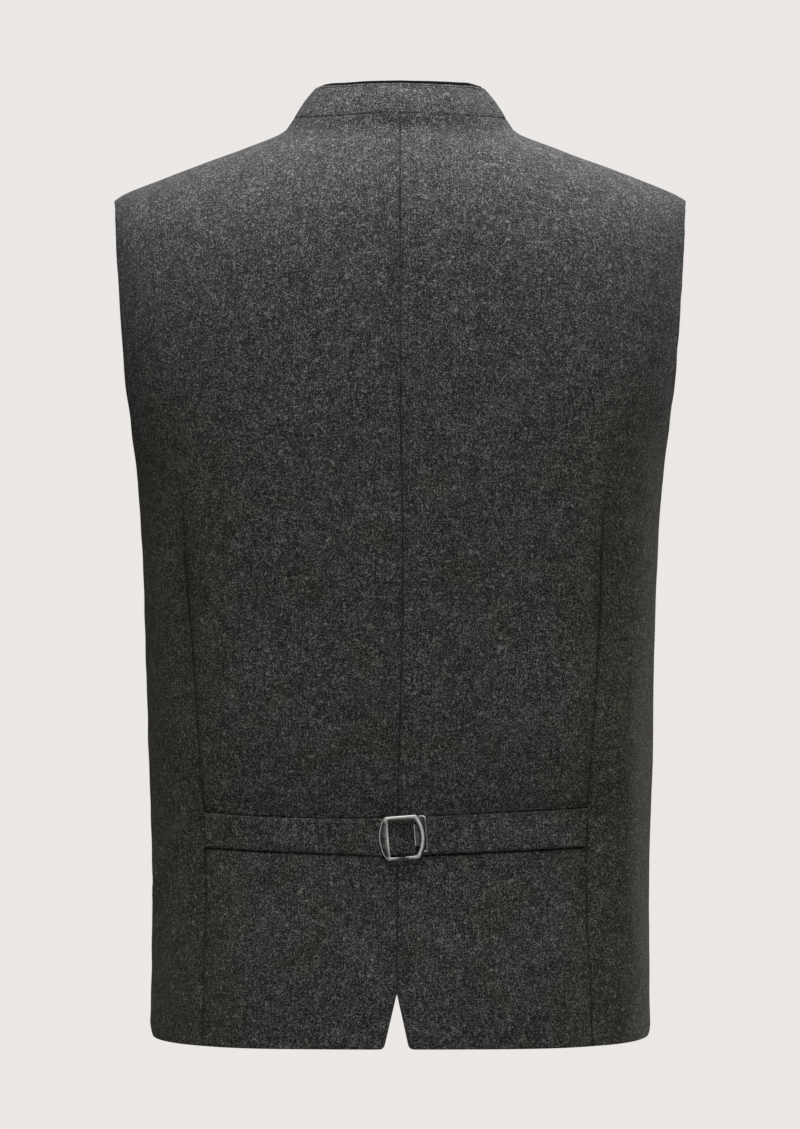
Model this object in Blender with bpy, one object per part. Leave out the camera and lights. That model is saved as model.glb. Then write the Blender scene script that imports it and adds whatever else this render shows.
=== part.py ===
"""Trachten vest in wool with a stand collar, a belted back and a small back vent.

The vest is worn by nobody: its pieces of cloth are walls round an empty, general body form.
Frame: metres, +Z up, +X to the wearer's left, +Y to the wearer's back. The origin is the middle of
the neck, level with the points where the shoulder seams meet the collar.

The body form is one smooth surface with two coordinates. `share` runs round it in even steps of
cloth, from 0 at the centre line to 1 at the side. `level` runs up it: below the chest it is the
height, and above the chest it runs over the shoulder, to the shoulder line at RIDGE. The form has
a back half and a front half, and every panel is a patch of one half between its seams.
"""

import math

import bpy
import numpy as np
from mathutils import Vector

# ---------------------------------------------------------------- driving dimensions
WALL = 0.0024            # thickness of the wool with its backing
GAP = 0.0003             # between neighbouring pieces
EASE = 0.6               # part of the gap that each side of a seam gives up
HEM = -0.658             # height of the hem
CHEST = -0.215           # height where the form starts to close over the shoulders
ARCH = 0.37              # rise of `level` from CHEST to the shoulder line
RIDGE = CHEST + ARCH     # level of the shoulder line
SECTION_POWER = 3.0      # 2 is an ellipse, more is squarer
OVER_POWER = {"back": 2.2, "front": 2.0}     # the same, for the slices over the shoulder
USUAL_HALF_WIDTH = 0.185         # section whose girth is walked in even steps
USUAL_DEPTH = 0.118

SHOULDER_TOP = 0.0109    # height of the shoulder line where it would cross the neck
SHOULDER_SLOPE = 0.39    # fall of the shoulder line for each metre outwards
SHOULDER_ROUND = 0.045   # half-width over which the line is rounded at the neck
TIP = 0.208              # half-width at the shoulder tips
TIP_DROOP = 0.0028       # how far the cloth turns down at the very tip
TIP_POWER = 40           # the higher, the nearer to the tip it starts

NECK_HALF = 0.0775       # neck seam: half-width, depth behind and depth in front of the origin
NECK_BACK = 0.055
NECK_FRONT = 0.100
NECK_POWER = 2.2
NECK_RISE = 0.0087       # how far the panels turn up into the neck seam
NECK_REACH = 0.0045      # and how soon that fades

COLLAR_HEIGHT = 0.0314   # measured along the cloth
COLLAR_CORNER = 0.006    # how much the two front ends are rounded off
BACK_LEAN = math.radians(36)     # lean of the collar towards the neck, at the back and sides
FRONT_LEAN = math.radians(20)    # and at the centre front
LEAN_BEND = math.radians(9)      # the top leans this much more, and the foot this much less
COLLAR_LIFT = 2.2 * GAP  # the collar's foot is this far above the panels' neck edge
FACING_WALL = 0.0014
FACING_FOOT = 0.0018     # the dark facing starts this far above the neck seam
FACING_PROUD = 0.0016    # the dark facing stands this far above the collar's edge

VENT_APEX = -0.6205
VENT_HALF = 0.0088
VENT_CORNER = 0.0014     # cut off the sharp corner beside the vent, each way
CENTRE_DRIFT = 0.0025    # the centre back seam hangs this far to the wearer's left at the hem
CLOSURE = 0.017          # how far each front reaches past the centre line
TUCK = 0.0030            # how far the under front lies inside the over front
TUCK_REACH = (0.003, 0.028)      # the tuck fades out between these distances past the closure
CUTAWAY = 0.060          # rise of the fronts' hem at the front edge
CUTAWAY_PART = 0.42      # part of a front's width over which the hem rises

STRAP_WALL = 0.0026
STRAP_LIFT = GAP         # the straps clear the panels by this much
STRAP_BAND = (-0.530, -0.487)    # the panels' rows just below and above the strap
STRAP_LEFT = ((-0.5203, -0.4950), (-0.5254, -0.4977))    # bottom and top, at its seam and centre
STRAP_RIGHT = ((-0.5175, -0.4916), (-0.5244, -0.4977))
STRAP_LEFT_END = 0.0121          # the left strap ends this far to the right of the centre seam
STRAP_RIGHT_END = 0.0130         # and the right strap begins here

BUCKLE_AT = (-0.0014, -0.5120)   # middle of the buckle, across and up
BUCKLE_TILT = math.radians(4.5)  # its right side is the higher one
BUCKLE_HALF_WIDTH = 0.0160       # over the bowed sides
BUCKLE_HALF_HEIGHT = 0.0155
BUCKLE_LIFT = 2.2 * GAP          # the buckle's back clears the straps by this much
BUCKLE_BAR_HALF = 0.0112         # half-length of the flat top and bottom bars
BUCKLE_THICK = 0.0020
BUCKLE_EDGE = 0.0004             # bevel round the frame's front
BUCKLE_RIM = 0.0032              # width of the bowed rim on the right
WINDOW_LEFT = 0.0093             # straight inner edge on the left
WINDOW_HALF_HEIGHT = 0.0132
WINDOW_POWER = 8                 # the higher, the sharper its corners
INNER_BAR = (-0.0087, -0.0065, 0.0087)   # straight edge, foot and top of the flat inner bar
BAR_THICK = 0.0012
LOOP_WIRE = 0.00055              # radius
# The loop's route, from the frame's right side round the strap's end and back under the frame.
LOOP_ROUTE = (
    # across, up
    (-0.0128, 0.0140),
    (-0.0168, 0.0140),
    (-0.0176, 0.0132),
    (-0.0176, -0.0098),
    (-0.0168, -0.0106),
    (-0.0146, -0.0106),
)

BUTTONS = 6
BUTTON_TOP = -0.105
BUTTON_STEP = 0.0895
BUTTON_SIDES = 20
BUTTON_LIFT = 2.5 * GAP          # a button's back clears the front by this much
# Half of a button cut through its middle, from its back to its front.
BUTTON_PROFILE = (
    # radius, height
    (0.0, 0.0),
    (0.0062, 0.0),
    (0.0088, 0.0007),
    (0.0095, 0.0014),
    (0.0090, 0.0022),
    (0.0060, 0.0029),
    (0.0, 0.0033),
)

# Girth of the form. Half-width at the side, and depth behind and in front of the side line.
FORM = (
    # level, half_width, back_depth, front_depth
    (-0.658, 0.1812, 0.1180, 0.1200),
    (-0.600, 0.1800, 0.1150, 0.1190),
    (-0.557, 0.1795, 0.1105, 0.1180),
    (-0.508, 0.1805, 0.1075, 0.1175),
    (-0.470, 0.1817, 0.1085, 0.1180),
    (-0.426, 0.1828, 0.1110, 0.1190),
    (-0.382, 0.1840, 0.1145, 0.1205),
    (-0.339, 0.1853, 0.1180, 0.1220),
    (-0.310, 0.1865, 0.1205, 0.1230),
    (-0.281, 0.1883, 0.1225, 0.1235),
    (-0.252, 0.1908, 0.1240, 0.1230),
    (-0.2225, 0.1967, 0.1250, 0.1215),
    (-0.193, 0.2023, 0.1250, 0.1200),
    (-0.140, 0.2071, 0.1250, 0.1185),
    (-0.051, 0.2100, 0.1250, 0.1180),
    (0.155, 0.2140, 0.1250, 0.1180),
)

# Armhole: how deep its edge lies behind and in front of the side line, as a part of the form's depth.
ARMHOLE = (
    # level, back, front
    (-0.272, 0.000, 0.000),
    (-0.264, 0.140, 0.160),
    (-0.252, 0.240, 0.280),
    (-0.236, 0.335, 0.380),
    (-0.215, 0.415, 0.450),
    (-0.180, 0.465, 0.480),
    (-0.120, 0.485, 0.480),
    (-0.050, 0.460, 0.440),
    (0.155, 0.4325, 0.4325),
)

# Side back seams: distance from the centre plane. They leave the armhole at the top row.
SIDE_BACK_SEAM = (
    # level, left, right
    (-0.658, 0.1400, 0.1355),
    (-0.600, 0.1390, 0.1340),
    (-0.508, 0.1380, 0.1315),
    (-0.465, 0.1410, 0.1335),
    (-0.420, 0.1440, 0.1365),
    (-0.380, 0.1480, 0.1390),
    (-0.340, 0.1515, 0.1412),
    (-0.300, 0.1535, 0.1425),
    (-0.275, 0.1545, 0.1440),
    (-0.255, 0.1575, 0.1485),
    (-0.235, 0.1645, 0.1575),
    (-0.218, 0.1765, 0.1725),
)
SEAM_TOP = -0.205        # where the side back seam runs into the armhole
UNDERARM = ARMHOLE[0][0]         # foot of the armhole, at the top of the side seam

# Main folds of the worn cloth. `round_low` and `round_high` place the fold's two ends round the
# vest, from 0 at the centre back over 1 at the side to 2 at the centre front.
FOLDS = (
    # side, round_low, level_low, round_high, level_high, half_width, depth (+ stands out)
    ("left", 0.600, -0.420, 0.640, -0.275, 0.014, -0.0030),
    ("right", 0.560, -0.420, 0.590, -0.290, 0.014, -0.0022),
    ("left", 0.930, -0.600, 0.760, -0.540, 0.012, 0.0022),
    ("right", 0.830, -0.600, 0.800, -0.360, 0.016, 0.0025),
    ("left", 0.440, -0.660, 0.400, -0.560, 0.028, 0.0030),
    ("right", 0.420, -0.660, 0.400, -0.560, 0.028, 0.0030),
    ("left", 0.560, -0.660, 0.540, -0.560, 0.016, -0.0022),
    ("right", 0.545, -0.660, 0.535, -0.560, 0.016, -0.0022),
    ("left", 1.450, -0.660, 1.300, -0.330, 0.030, 0.0030),
    ("right", 1.420, -0.660, 1.320, -0.300, 0.030, 0.0030),
)
QUARTER = 0.240          # girth of a quarter of the vest, to turn round steps into metres

# Rows of the panels' grids. Lower rows are levels, upper rows are parts of the way to the top.
LOWER_ROWS = (HEM, -0.652, -0.638, VENT_APEX, -0.585, -0.557, STRAP_BAND[0], STRAP_BAND[1],
              -0.450, -0.412, -0.374, -0.336, -0.300, -0.275, -0.257, -0.244)
UPPER_ROWS = (0.12, 0.25, 0.38, 0.51, 0.64, 0.76, 0.87, 0.95, 1.0)
FRONT_ARMHOLE_ROWS = (0.018, 0.045, 0.08)    # extra upper rows of the fronts, round the armhole's foot
SHOULDER_STEPS = 8       # columns that end on the shoulder seam
SIDE_STEPS = 5           # columns of the side back panels
COLLAR_ROWS = 4

# Points of the neck seam, from 0 at the centre to 1 at the shoulder seam. The collar's front ends
# are at the first front point.
BACK_TURNS = np.array([0, 0.15, 0.30, 0.46, 0.62, 0.80, 1.0])
FRONT_TURNS = np.array([0.025, 0.10, 0.22, 0.36, 0.50, 0.66, 0.83, 1.0])

WOOL = ("wool", (0.075, 0.075, 0.072), 0.95, 0.0)
DARK_WOOL = ("dark_facing", (0.022, 0.021, 0.021), 0.9, 0.0)
NICKEL = ("old_nickel", (0.42, 0.42, 0.40), 0.38, 1.0)
BUTTON_METAL = ("button_metal", (0.36, 0.35, 0.33), 0.42, 1.0)


# ---------------------------------------------------------------- small tools
def column(table, number):
    """One named column of a table."""
    return np.array([row[number] for row in table])


def smooth(x, xs, ys):
    """Smooth curve through the points (xs, ys): cubic pieces whose slope at each point is the mean
    slope of its neighbours."""
    slope = np.gradient(ys, xs)
    x = np.clip(x, xs[0], xs[-1])
    k = np.clip(np.searchsorted(xs, x) - 1, 0, len(xs) - 2)
    step = xs[k + 1] - xs[k]
    t = (x - xs[k]) / step
    return ((1 + 2 * t) * (1 - t) ** 2 * ys[k] + t * (1 - t) ** 2 * step * slope[k]
            + t * t * (3 - 2 * t) * ys[k + 1] + t * t * (t - 1) * step * slope[k + 1])


def ramp(x, start, end):
    """0 before start, 1 after end, with an even S between them."""
    t = np.clip((x - start) / (end - start), 0, 1)
    return t * t * (3 - 2 * t)


def unit(vectors):
    """The vectors at length 1."""
    return vectors / np.linalg.norm(vectors, axis=-1, keepdims=True)


# ---------------------------------------------------------------- the body form
def section(angle):
    """Across and depth parts, 0 to 1, of the rounded rectangle at an angle from its centre line."""
    across = np.sign(angle) * np.abs(np.sin(angle)) ** (2 / SECTION_POWER)
    depth = np.clip(np.cos(angle), 0, 1) ** (2 / SECTION_POWER)
    return across, depth


ANGLES = np.linspace(0, math.pi / 2, 2001)
ACROSS, DEPTH = section(ANGLES)
WALKED = np.concatenate([[0], np.cumsum(np.hypot(np.diff(ACROSS * USUAL_HALF_WIDTH),
                                                 np.diff(DEPTH * USUAL_DEPTH)))])
SHARES = WALKED / WALKED[-1]     # even steps of cloth, against the angles above


def angle_of_share(share):
    return np.sign(share) * np.interp(np.abs(share), SHARES, ANGLES)


def share_of_across(across):
    """Share at which the form's width is this part of its half-width."""
    angle = np.arcsin(np.clip(np.abs(across), 0, 1) ** (SECTION_POWER / 2))
    return np.sign(across) * np.interp(angle, ANGLES, SHARES)


def share_of_depth(depth):
    """Share at which the form's depth is this part of its depth at the centre line."""
    return np.interp(np.arccos(np.clip(depth, 0, 1) ** (SECTION_POWER / 2)), ANGLES, SHARES)


def half_width(level):
    return smooth(level, column(FORM, 0), column(FORM, 1))


def full_depth(level, half):
    return smooth(level, column(FORM, 0), column(FORM, 2 if half == "back" else 3))


def shoulder_line(x):
    """Height of the shoulder line: a straight slope, rounded at the neck, that droops at the tip."""
    slope = SHOULDER_SLOPE * (np.sqrt(x * x + SHOULDER_ROUND ** 2) - SHOULDER_ROUND)
    return SHOULDER_TOP - slope - TIP_DROOP * (np.abs(x) / TIP) ** TIP_POWER


def over_angle(level):
    """Angle of the shoulder slices at a level: 0 on the shoulder line, a right angle at the chest."""
    return np.clip((RIDGE - level) / ARCH, 0, 1) * math.pi / 2


def neck_distance(x, y):
    """Distance outside the neck seam, seen from above."""
    depth = np.where(y > 0, NECK_BACK, NECK_FRONT)
    ratio = ((np.abs(x) / NECK_HALF) ** NECK_POWER + (np.abs(y) / depth) ** NECK_POWER)
    return np.maximum(ratio ** (1 / NECK_POWER) - 1, 0) * NECK_HALF


def bare_form(share, level, half):
    """Point of the form without folds. Sections are rounded rectangles. Above the chest each
    front-to-back slice closes over the shoulder line as part of a rounded rectangle too."""
    across, depth = section(angle_of_share(share))
    power = OVER_POWER[half]
    angle = over_angle(level)
    x = half_width(level) * across
    y = full_depth(level, half) * depth * np.sin(angle) ** (2 / power)
    y = y if half == "back" else -y
    lift = (shoulder_line(x) - CHEST) * np.cos(angle) ** (2 / power)
    z = np.where(level > CHEST, CHEST + lift, level)
    z = z + NECK_RISE * np.exp(-neck_distance(x, y) / NECK_REACH) * (level > CHEST)
    return np.stack([x, y, z], -1)


def normals(surface, share, level, half):
    """Outward unit normals of a surface of (share, level), from short steps along it."""
    step = 0.0004
    share, level = np.minimum(share, 1), np.minimum(level, RIDGE)
    across = surface(np.minimum(share + step, 1), level) - surface(share - step, level)
    up = surface(share, np.minimum(level + step, RIDGE)) - surface(share, level - step)
    return unit(np.cross(up, across) if half == "back" else np.cross(across, up))


def fold_height(share, level, half, side):
    """How far the folds move the cloth out (+) or in (-) at a place."""
    place = share if half == "back" else 2 - share
    height = np.zeros(np.shape(share))
    for fold_side, round_low, low, round_high, high, width, depth in FOLDS:
        if fold_side != side:
            continue
        along = (level - low) / (high - low)
        middle = round_low + (round_high - round_low) * along
        offset = (place - middle) * QUARTER / width
        ends = ramp(along, -0.35, 0.25) * (1 - ramp(along, 0.7, 1.35))
        height = height + depth * np.exp(-offset ** 2) * ends
    return height


def form(share, level, half, side):
    """Point of the form with its folds, on the wearer's left. The right side is its mirror image."""
    share, level = np.broadcast_arrays(share, level)

    out = normals(lambda s, v: bare_form(s, v, half), share, level, half)
    return bare_form(share, level, half) + out * fold_height(share, level, half, side)[..., None]


def form_normals(share, level, half, side):
    share, level = np.broadcast_arrays(share, level)
    return normals(lambda s, v: form(s, v, half, side), share, level, half)


def place_on_shoulder(x, y, half):
    """Share and level of the point of the form seen at (x, y) from above, by repeated improvement."""
    level = np.full(np.shape(x), RIDGE - ARCH * 0.2)
    for _ in range(60):
        share = share_of_across(x / half_width(level))
        depth = section(angle_of_share(share))[1] * full_depth(level, half)
        lift = np.clip(np.abs(y) / depth, 0, 1) ** (OVER_POWER[half] / 2)
        level = RIDGE - ARCH * np.arcsin(lift) / (math.pi / 2)
    return share, level


# ---------------------------------------------------------------- outlines of the panels
def armhole_share(level, half):
    """Share of the armhole edge. Below the armhole it is 1, the side seam."""
    part = smooth(level, column(ARMHOLE, 0), column(ARMHOLE, 1 if half == "back" else 2))
    return np.where(level <= UNDERARM, 1.0, share_of_depth(np.clip(part, 0, 1)))


def side_back_share(level, side):
    """Share of the side back seam. From the last row of its table it bends out to the armhole."""
    levels = np.append(column(SIDE_BACK_SEAM, 0), SEAM_TOP)
    reach = column(SIDE_BACK_SEAM, 1 if side == "left" else 2)
    shares = share_of_across(reach / half_width(levels[:-1]))
    shares = np.append(shares, armhole_share(np.array(SEAM_TOP), "back"))
    return smooth(level, levels, shares)


def centre_back_share(level, side):
    """Share of the back panels' inner edge: the centre seam, which drifts to the wearer's left
    below the chest, opened to a V below VENT_APEX."""
    drift = CENTRE_DRIFT * np.clip((CHEST - level) / (CHEST - HEM), 0, 1)
    opening = VENT_HALF * np.clip((VENT_APEX - level) / (VENT_APEX - HEM), 0, 1)
    return share_of_across((opening + (drift if side == "left" else -drift)) / half_width(level))


def front_edge_share(level):
    """Share of a front's edge, which lies past the centre line."""
    return share_of_across(-CLOSURE / half_width(level))


def neck_ring(turns, half):
    """Share and level of points on the neck seam. turns run from 0 at the centre line to 1 at the
    shoulder line, and are negative past the centre line."""
    angle = np.asarray(turns) * math.pi / 2
    x = NECK_HALF * np.sign(angle) * np.abs(np.sin(angle)) ** (2 / NECK_POWER)
    depth = NECK_BACK if half == "back" else NECK_FRONT
    y = depth * np.clip(np.cos(angle), 0, 1) ** (2 / NECK_POWER)
    share, level = place_on_shoulder(x, y, half)
    return share, np.where(angle >= math.pi / 2, RIDGE, level)


def columns_and_top(turns, half, inner_edge, outer_edge):
    """Columns of a panel, 0 at its inner edge to 1 at its outer edge, and the level where each one
    ends: first at these points of the neck seam, then in even steps along the shoulder seam."""
    share, level = neck_ring(turns, half)
    inner, outer = inner_edge(level), outer_edge(level)
    neck = (share - inner) / (outer - inner)
    neck[0] = 0
    steps = np.arange(1, SHOULDER_STEPS + 1) / SHOULDER_STEPS
    shoulder = neck[-1] + (1 - neck[-1]) * steps
    return np.append(neck, shoulder), np.append(level, np.full(SHOULDER_STEPS, RIDGE))


def row_levels(hem, chest, top=None, upper_rows=UPPER_ROWS):
    """Levels of a panel's grid, rows by columns. The lower rows are level, except that they follow
    the hem at the foot and the chest line at the top. The upper rows fan out to the top edge."""
    rows = np.array(LOWER_ROWS)[:, None]
    near_hem = 1 - ramp(rows, HEM, STRAP_BAND[0])
    near_chest = ramp(rows, STRAP_BAND[1], LOWER_ROWS[-1])
    lower = rows + near_hem * (hem - HEM) + near_chest * (chest - LOWER_ROWS[-1])
    if top is None:
        return lower
    upper = chest + np.array(upper_rows)[:, None] * (top - chest)
    return np.concatenate([lower, upper])


def panel_grid(columns, levels, inner_edge, outer_edge, half, side):
    """Points and outward normals of a panel, rows by columns. Each column keeps its part of the way
    between the two edges."""
    inner, outer = inner_edge(levels), outer_edge(levels)
    share = inner + columns * (outer - inner)
    mirror = 1 if side == "left" else -1
    points = form(share, levels, half, side) * (mirror, 1, 1)
    return points, form_normals(share, levels, half, side) * (mirror, 1, 1)


def back_grid(side):
    """Centre back panel: centre seam and vent, neck, shoulder, armhole, side back seam, hem."""
    def inner_edge(level):
        return centre_back_share(level, side)

    def outer_edge(level):
        return np.where(level < SEAM_TOP, side_back_share(level, side), armhole_share(level, "back"))
    columns, top = columns_and_top(BACK_TURNS, "back", inner_edge, outer_edge)
    chest = LOWER_ROWS[-1] + (SEAM_TOP - LOWER_ROWS[-1]) * columns
    levels = row_levels(HEM, chest, top)
    levels[0, 0] += VENT_CORNER
    points, out = panel_grid(columns, levels, inner_edge, outer_edge, "back", side)
    points[0, 0, 0] += VENT_CORNER if side == "left" else -VENT_CORNER
    return points, out


def side_back_grid(side):
    """Side back panel: side back seam, armhole, side seam, hem."""
    def inner_edge(level):
        return side_back_share(level, side)

    def outer_edge(level):
        return np.ones(np.shape(level))
    columns = np.linspace(0, 1, SIDE_STEPS + 1)
    climb = np.linspace(UNDERARM, SEAM_TOP, 400)
    part = (armhole_share(climb, "back") - inner_edge(climb)) / (1 - inner_edge(climb))
    chest = np.interp(-columns, -part, climb)
    return panel_grid(columns, row_levels(HEM, chest), inner_edge, outer_edge, "back", side)


def front_grid(side):
    """Front: its edge past the centre line, neck, shoulder, armhole, side seam, cut-away hem. The
    right front is the under one, so near the centre it lies inside the left one."""
    def outer_edge(level):
        return armhole_share(level, "front")
    edge_turn = math.asin((CLOSURE / NECK_HALF) ** (NECK_POWER / 2)) / (math.pi / 2)
    turns = np.concatenate([[-edge_turn, 0], FRONT_TURNS])
    columns, top = columns_and_top(turns, "front", front_edge_share, outer_edge)
    chest = LOWER_ROWS[-1] + (UNDERARM - LOWER_ROWS[-1]) * columns
    hem = HEM + CUTAWAY * (1 - ramp(columns, 0, CUTAWAY_PART)) ** 2
    levels = row_levels(hem, chest, top, FRONT_ARMHOLE_ROWS + UPPER_ROWS)
    points, out = panel_grid(columns, levels, front_edge_share, outer_edge, "front", side)
    if side == "right":
        inside = 1 - ramp(-points[..., 0], CLOSURE + TUCK_REACH[0], CLOSURE + TUCK_REACH[1])
        points = points - out * (TUCK * inside)[..., None]
    return points, out


# ---------------------------------------------------------------- bodies
def material(name, colour, roughness, metallic):
    """A Principled material, made once."""
    found = bpy.data.materials.get(name)
    if found:
        return found
    made = bpy.data.materials.new(name)
    made.use_nodes = True
    shader = made.node_tree.nodes["Principled BSDF"]
    shader.inputs["Base Color"].default_value = (*colour, 1)
    shader.inputs["Roughness"].default_value = roughness
    shader.inputs["Metallic"].default_value = metallic
    return made


def encloses(vertices, faces):
    """Signed volume of a closed body: positive where its faces point outwards."""
    volume = 0.0
    for face in faces:
        for second, third in zip(face[1:-1], face[2:]):
            volume += vertices[face[0]] @ np.cross(vertices[second], vertices[third]) / 6
    return volume


def add_body(name, vertices, faces, finish):
    """One object whose faces point outwards. A four-sided face is split from its first corner, and
    turning it round keeps that corner, so that pieces lying on each other are split alike."""
    vertices = vertices.reshape(-1, 3)
    if encloses(vertices, faces) < 0:
        faces = [[face[0], *face[:0:-1]] for face in faces]
    mesh = bpy.data.meshes.new(name)
    mesh.from_pydata(vertices.tolist(), [], faces)
    mesh.materials.append(material(*finish))
    body = bpy.data.objects.new(name, mesh)
    bpy.context.collection.objects.link(body)
    return body


def add_wall(name, outside, inside, finish):
    """A wall between two grids of the same shape: the two skins and the rim round their edges. The
    rim's four-sided faces are twisted, so each is split in two. The split runs from the outer
    corner that is further out and up, and so it is the same on both sides of a seam."""
    rows, columns = outside.shape[:2]
    number = np.arange(rows * columns).reshape(rows, columns)
    skin = np.stack([number[:-1, :-1], number[:-1, 1:], number[1:, 1:], number[1:, :-1]], -1)
    skin = skin.reshape(-1, 4)
    border = np.concatenate([number[0, :-1], number[:-1, -1], number[-1, :0:-1], number[:0:-1, 0]])
    ahead = np.roll(border, -1)
    under = number.size
    order = np.abs(outside.reshape(-1, 3)) @ (1, 0, 0) + outside.reshape(-1, 3) @ (0, 0.3, 1)
    rim = []
    for a, b in zip(border.tolist(), ahead.tolist()):
        if order[a] > order[b]:
            rim += [[b, a, b + under], [a, a + under, b + under]]
        else:
            rim += [[b, a, a + under], [b, a + under, b + under]]
    faces = skin.tolist() + (skin[:, [0, 3, 2, 1]] + under).tolist() + rim
    return add_body(name, np.stack([outside, inside]), faces, finish)


def add_ring(name, loops, finish):
    """A body that closes on itself both ways: loops of points, each joined to the next and the last
    to the first."""
    count, around = loops.shape[:2]
    number = np.arange(count * around).reshape(count, around)
    right, below = np.roll(number, -1, 1), np.roll(number, -1, 0)
    faces = np.stack([number, right, np.roll(below, -1, 1), below], -1).reshape(-1, 4)
    return add_body(name, loops, faces.tolist(), finish)


def eased(points, edges):
    """The grid with half a seam gap taken off at these edges."""
    points = points.copy()
    half_gap = EASE * GAP
    if "inner" in edges:
        points[:, 0] += half_gap * unit(points[:, 1] - points[:, 0])
    if "outer" in edges:
        points[:, -1] += half_gap * unit(points[:, -2] - points[:, -1])
    if "top" in edges:
        points[-1] += half_gap * unit(points[-2] - points[-1])
    return points


def add_panel(name, grid, edges):
    """A panel of wool with its outer skin on the grid."""
    points, out = eased(grid[0], edges), grid[1]
    return add_wall(name, points, points - out * WALL, WOOL)


# ---------------------------------------------------------------- collar
def collar_seam(grids):
    """Points of the panels' neck edge, from the wearer's left centre front round the back to the
    right one."""
    ring = []
    for side in ("left", "right"):
        front = grids["front_" + side][0][-1, 2:2 + len(FRONT_TURNS)]
        back = grids["back_" + side][0][-1, :len(BACK_TURNS)]
        half_ring = np.concatenate([front, back[-2::-1]])
        ring.append(half_ring if side == "left" else half_ring[-2::-1])
    return np.concatenate(ring)


def collar_rows(seam, height_parts, out_shift):
    """Rows of the collar. It climbs from the neck seam, leans in towards the neck, and leans more
    behind than in front and more at its top than at its foot."""
    along = np.gradient(seam, axis=0)
    inward = unit(np.stack([-along[:, 1], along[:, 0], np.zeros(len(seam))], -1))
    behind = ramp(seam[:, 1], -NECK_FRONT * 0.8, 0)
    foot_lean = FRONT_LEAN + behind * (BACK_LEAN - FRONT_LEAN) - LEAN_BEND
    end = np.minimum(np.arange(len(seam)), np.arange(len(seam))[::-1])
    height = COLLAR_HEIGHT - COLLAR_CORNER * np.exp(-end / 0.5)
    rows = []
    for part in height_parts:
        lean = (foot_lean + LEAN_BEND * part)[:, None]
        climb = inward * np.sin(lean) + np.array([0, 0, 1]) * np.cos(lean)
        face = np.array([0, 0, 1]) * np.sin(lean) - inward * np.cos(lean)
        rows.append(seam + climb * (part * height)[:, None] + face * out_shift)
    return np.stack(rows)


def add_collar(grids):
    """The wool collar and, inside it, the dark facing that stands a little above its edge."""
    seam = collar_seam(grids) + (0, 0, COLLAR_LIFT)
    wool_parts = np.linspace(0, 1, COLLAR_ROWS + 1)
    add_wall("collar", collar_rows(seam, wool_parts, 0), collar_rows(seam, wool_parts, -WALL), WOOL)
    facing_parts = np.append(wool_parts, 1 + FACING_PROUD / COLLAR_HEIGHT)
    facing_parts[0] = FACING_FOOT / COLLAR_HEIGHT
    outside = -WALL - GAP
    add_wall("collar_facing", collar_rows(seam, facing_parts, outside),
             collar_rows(seam, facing_parts, outside - FACING_WALL), DARK_WOOL)


# ---------------------------------------------------------------- cinch strap
def between_columns(rows, places):
    """Values of a grid row at column numbers that may fall between columns."""
    whole = np.minimum(np.floor(places).astype(int), rows.shape[0] - 2)
    part = (np.asarray(places) - whole)[:, None]
    return rows[whole] * (1 - part) + rows[whole + 1] * part


def strap_edges(grid, places, seam_edges, centre_edges):
    """Bottom and top edge of a strap on a back panel, with the normals: points of the panel's two
    rows beside the strap, and part of the way between them."""
    points, out = grid
    row = LOWER_ROWS.index(STRAP_BAND[0])
    last = points.shape[1] - 1
    edges, outs = [], []
    for seam_level, centre_level in zip(seam_edges, centre_edges):
        level = centre_level + (seam_level - centre_level) * np.asarray(places) / last
        up = ((level - STRAP_BAND[0]) / (STRAP_BAND[1] - STRAP_BAND[0]))[:, None]
        low, high = (between_columns(points[row + k], places) for k in (0, 1))
        edges.append(low + (high - low) * up)
        low, high = (between_columns(out[row + k], places) for k in (0, 1))
        outs.append(unit(low + (high - low) * up))
    return np.stack(edges), np.stack(outs)


def column_at(grid, distance):
    """Column number at which a back panel is this far from the centre plane, beside the strap."""
    points = grid[0]
    reach = np.abs(points[LOWER_ROWS.index(STRAP_BAND[0]), :, 0])
    return np.interp(distance, reach, np.arange(len(reach)))


def add_straps(grids):
    """The two parts of the cinch strap. Each is caught in a side back seam, lies on the back and
    ends under the buckle. The left one is the longer: it runs through the buckle's window."""
    left, right = (grids["back_" + side] for side in ("left", "right"))
    last = left[0].shape[1] - 1
    own, own_out = strap_edges(left, np.arange(last, -1, -1), *STRAP_LEFT)
    over, over_out = strap_edges(right, [column_at(right, STRAP_LEFT_END)], *STRAP_LEFT)
    edges, outs = np.concatenate([own, over], 1), np.concatenate([own_out, over_out], 1)
    add_wall("strap_left", edges + outs * (STRAP_LIFT + STRAP_WALL), edges + outs * STRAP_LIFT, WOOL)
    start = column_at(right, STRAP_RIGHT_END)
    places = np.append(start, np.arange(math.ceil(start), last + 1))
    edges, outs = strap_edges(right, places, *STRAP_RIGHT)
    add_wall("strap_right", edges + outs * (STRAP_LIFT + STRAP_WALL), edges + outs * STRAP_LIFT, WOOL)


# ---------------------------------------------------------------- buckle
BOW = BUCKLE_HALF_WIDTH - BUCKLE_BAR_HALF        # rise of the arcs at the frame's sides
BOW_RADIUS = (BUCKLE_HALF_HEIGHT ** 2 + BOW ** 2) / (2 * BOW)


def bowed(angle, radius):
    """Distance to an arc of this radius whose middle lies across the buckle's centre: the outline
    of the bowed sides."""
    centre = BOW_RADIUS - BUCKLE_HALF_WIDTH
    across = np.abs(np.cos(angle))
    return -centre * across + np.sqrt(centre ** 2 * (across ** 2 - 1) + radius ** 2)


def buckle_outline(angle, shrink):
    """The frame's outer edge: flat above and below, bowed at the sides."""
    flat = (BUCKLE_HALF_HEIGHT - shrink) / np.maximum(np.abs(np.sin(angle)), 1e-6)
    return np.minimum(flat, bowed(angle, BOW_RADIUS - shrink))


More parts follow.
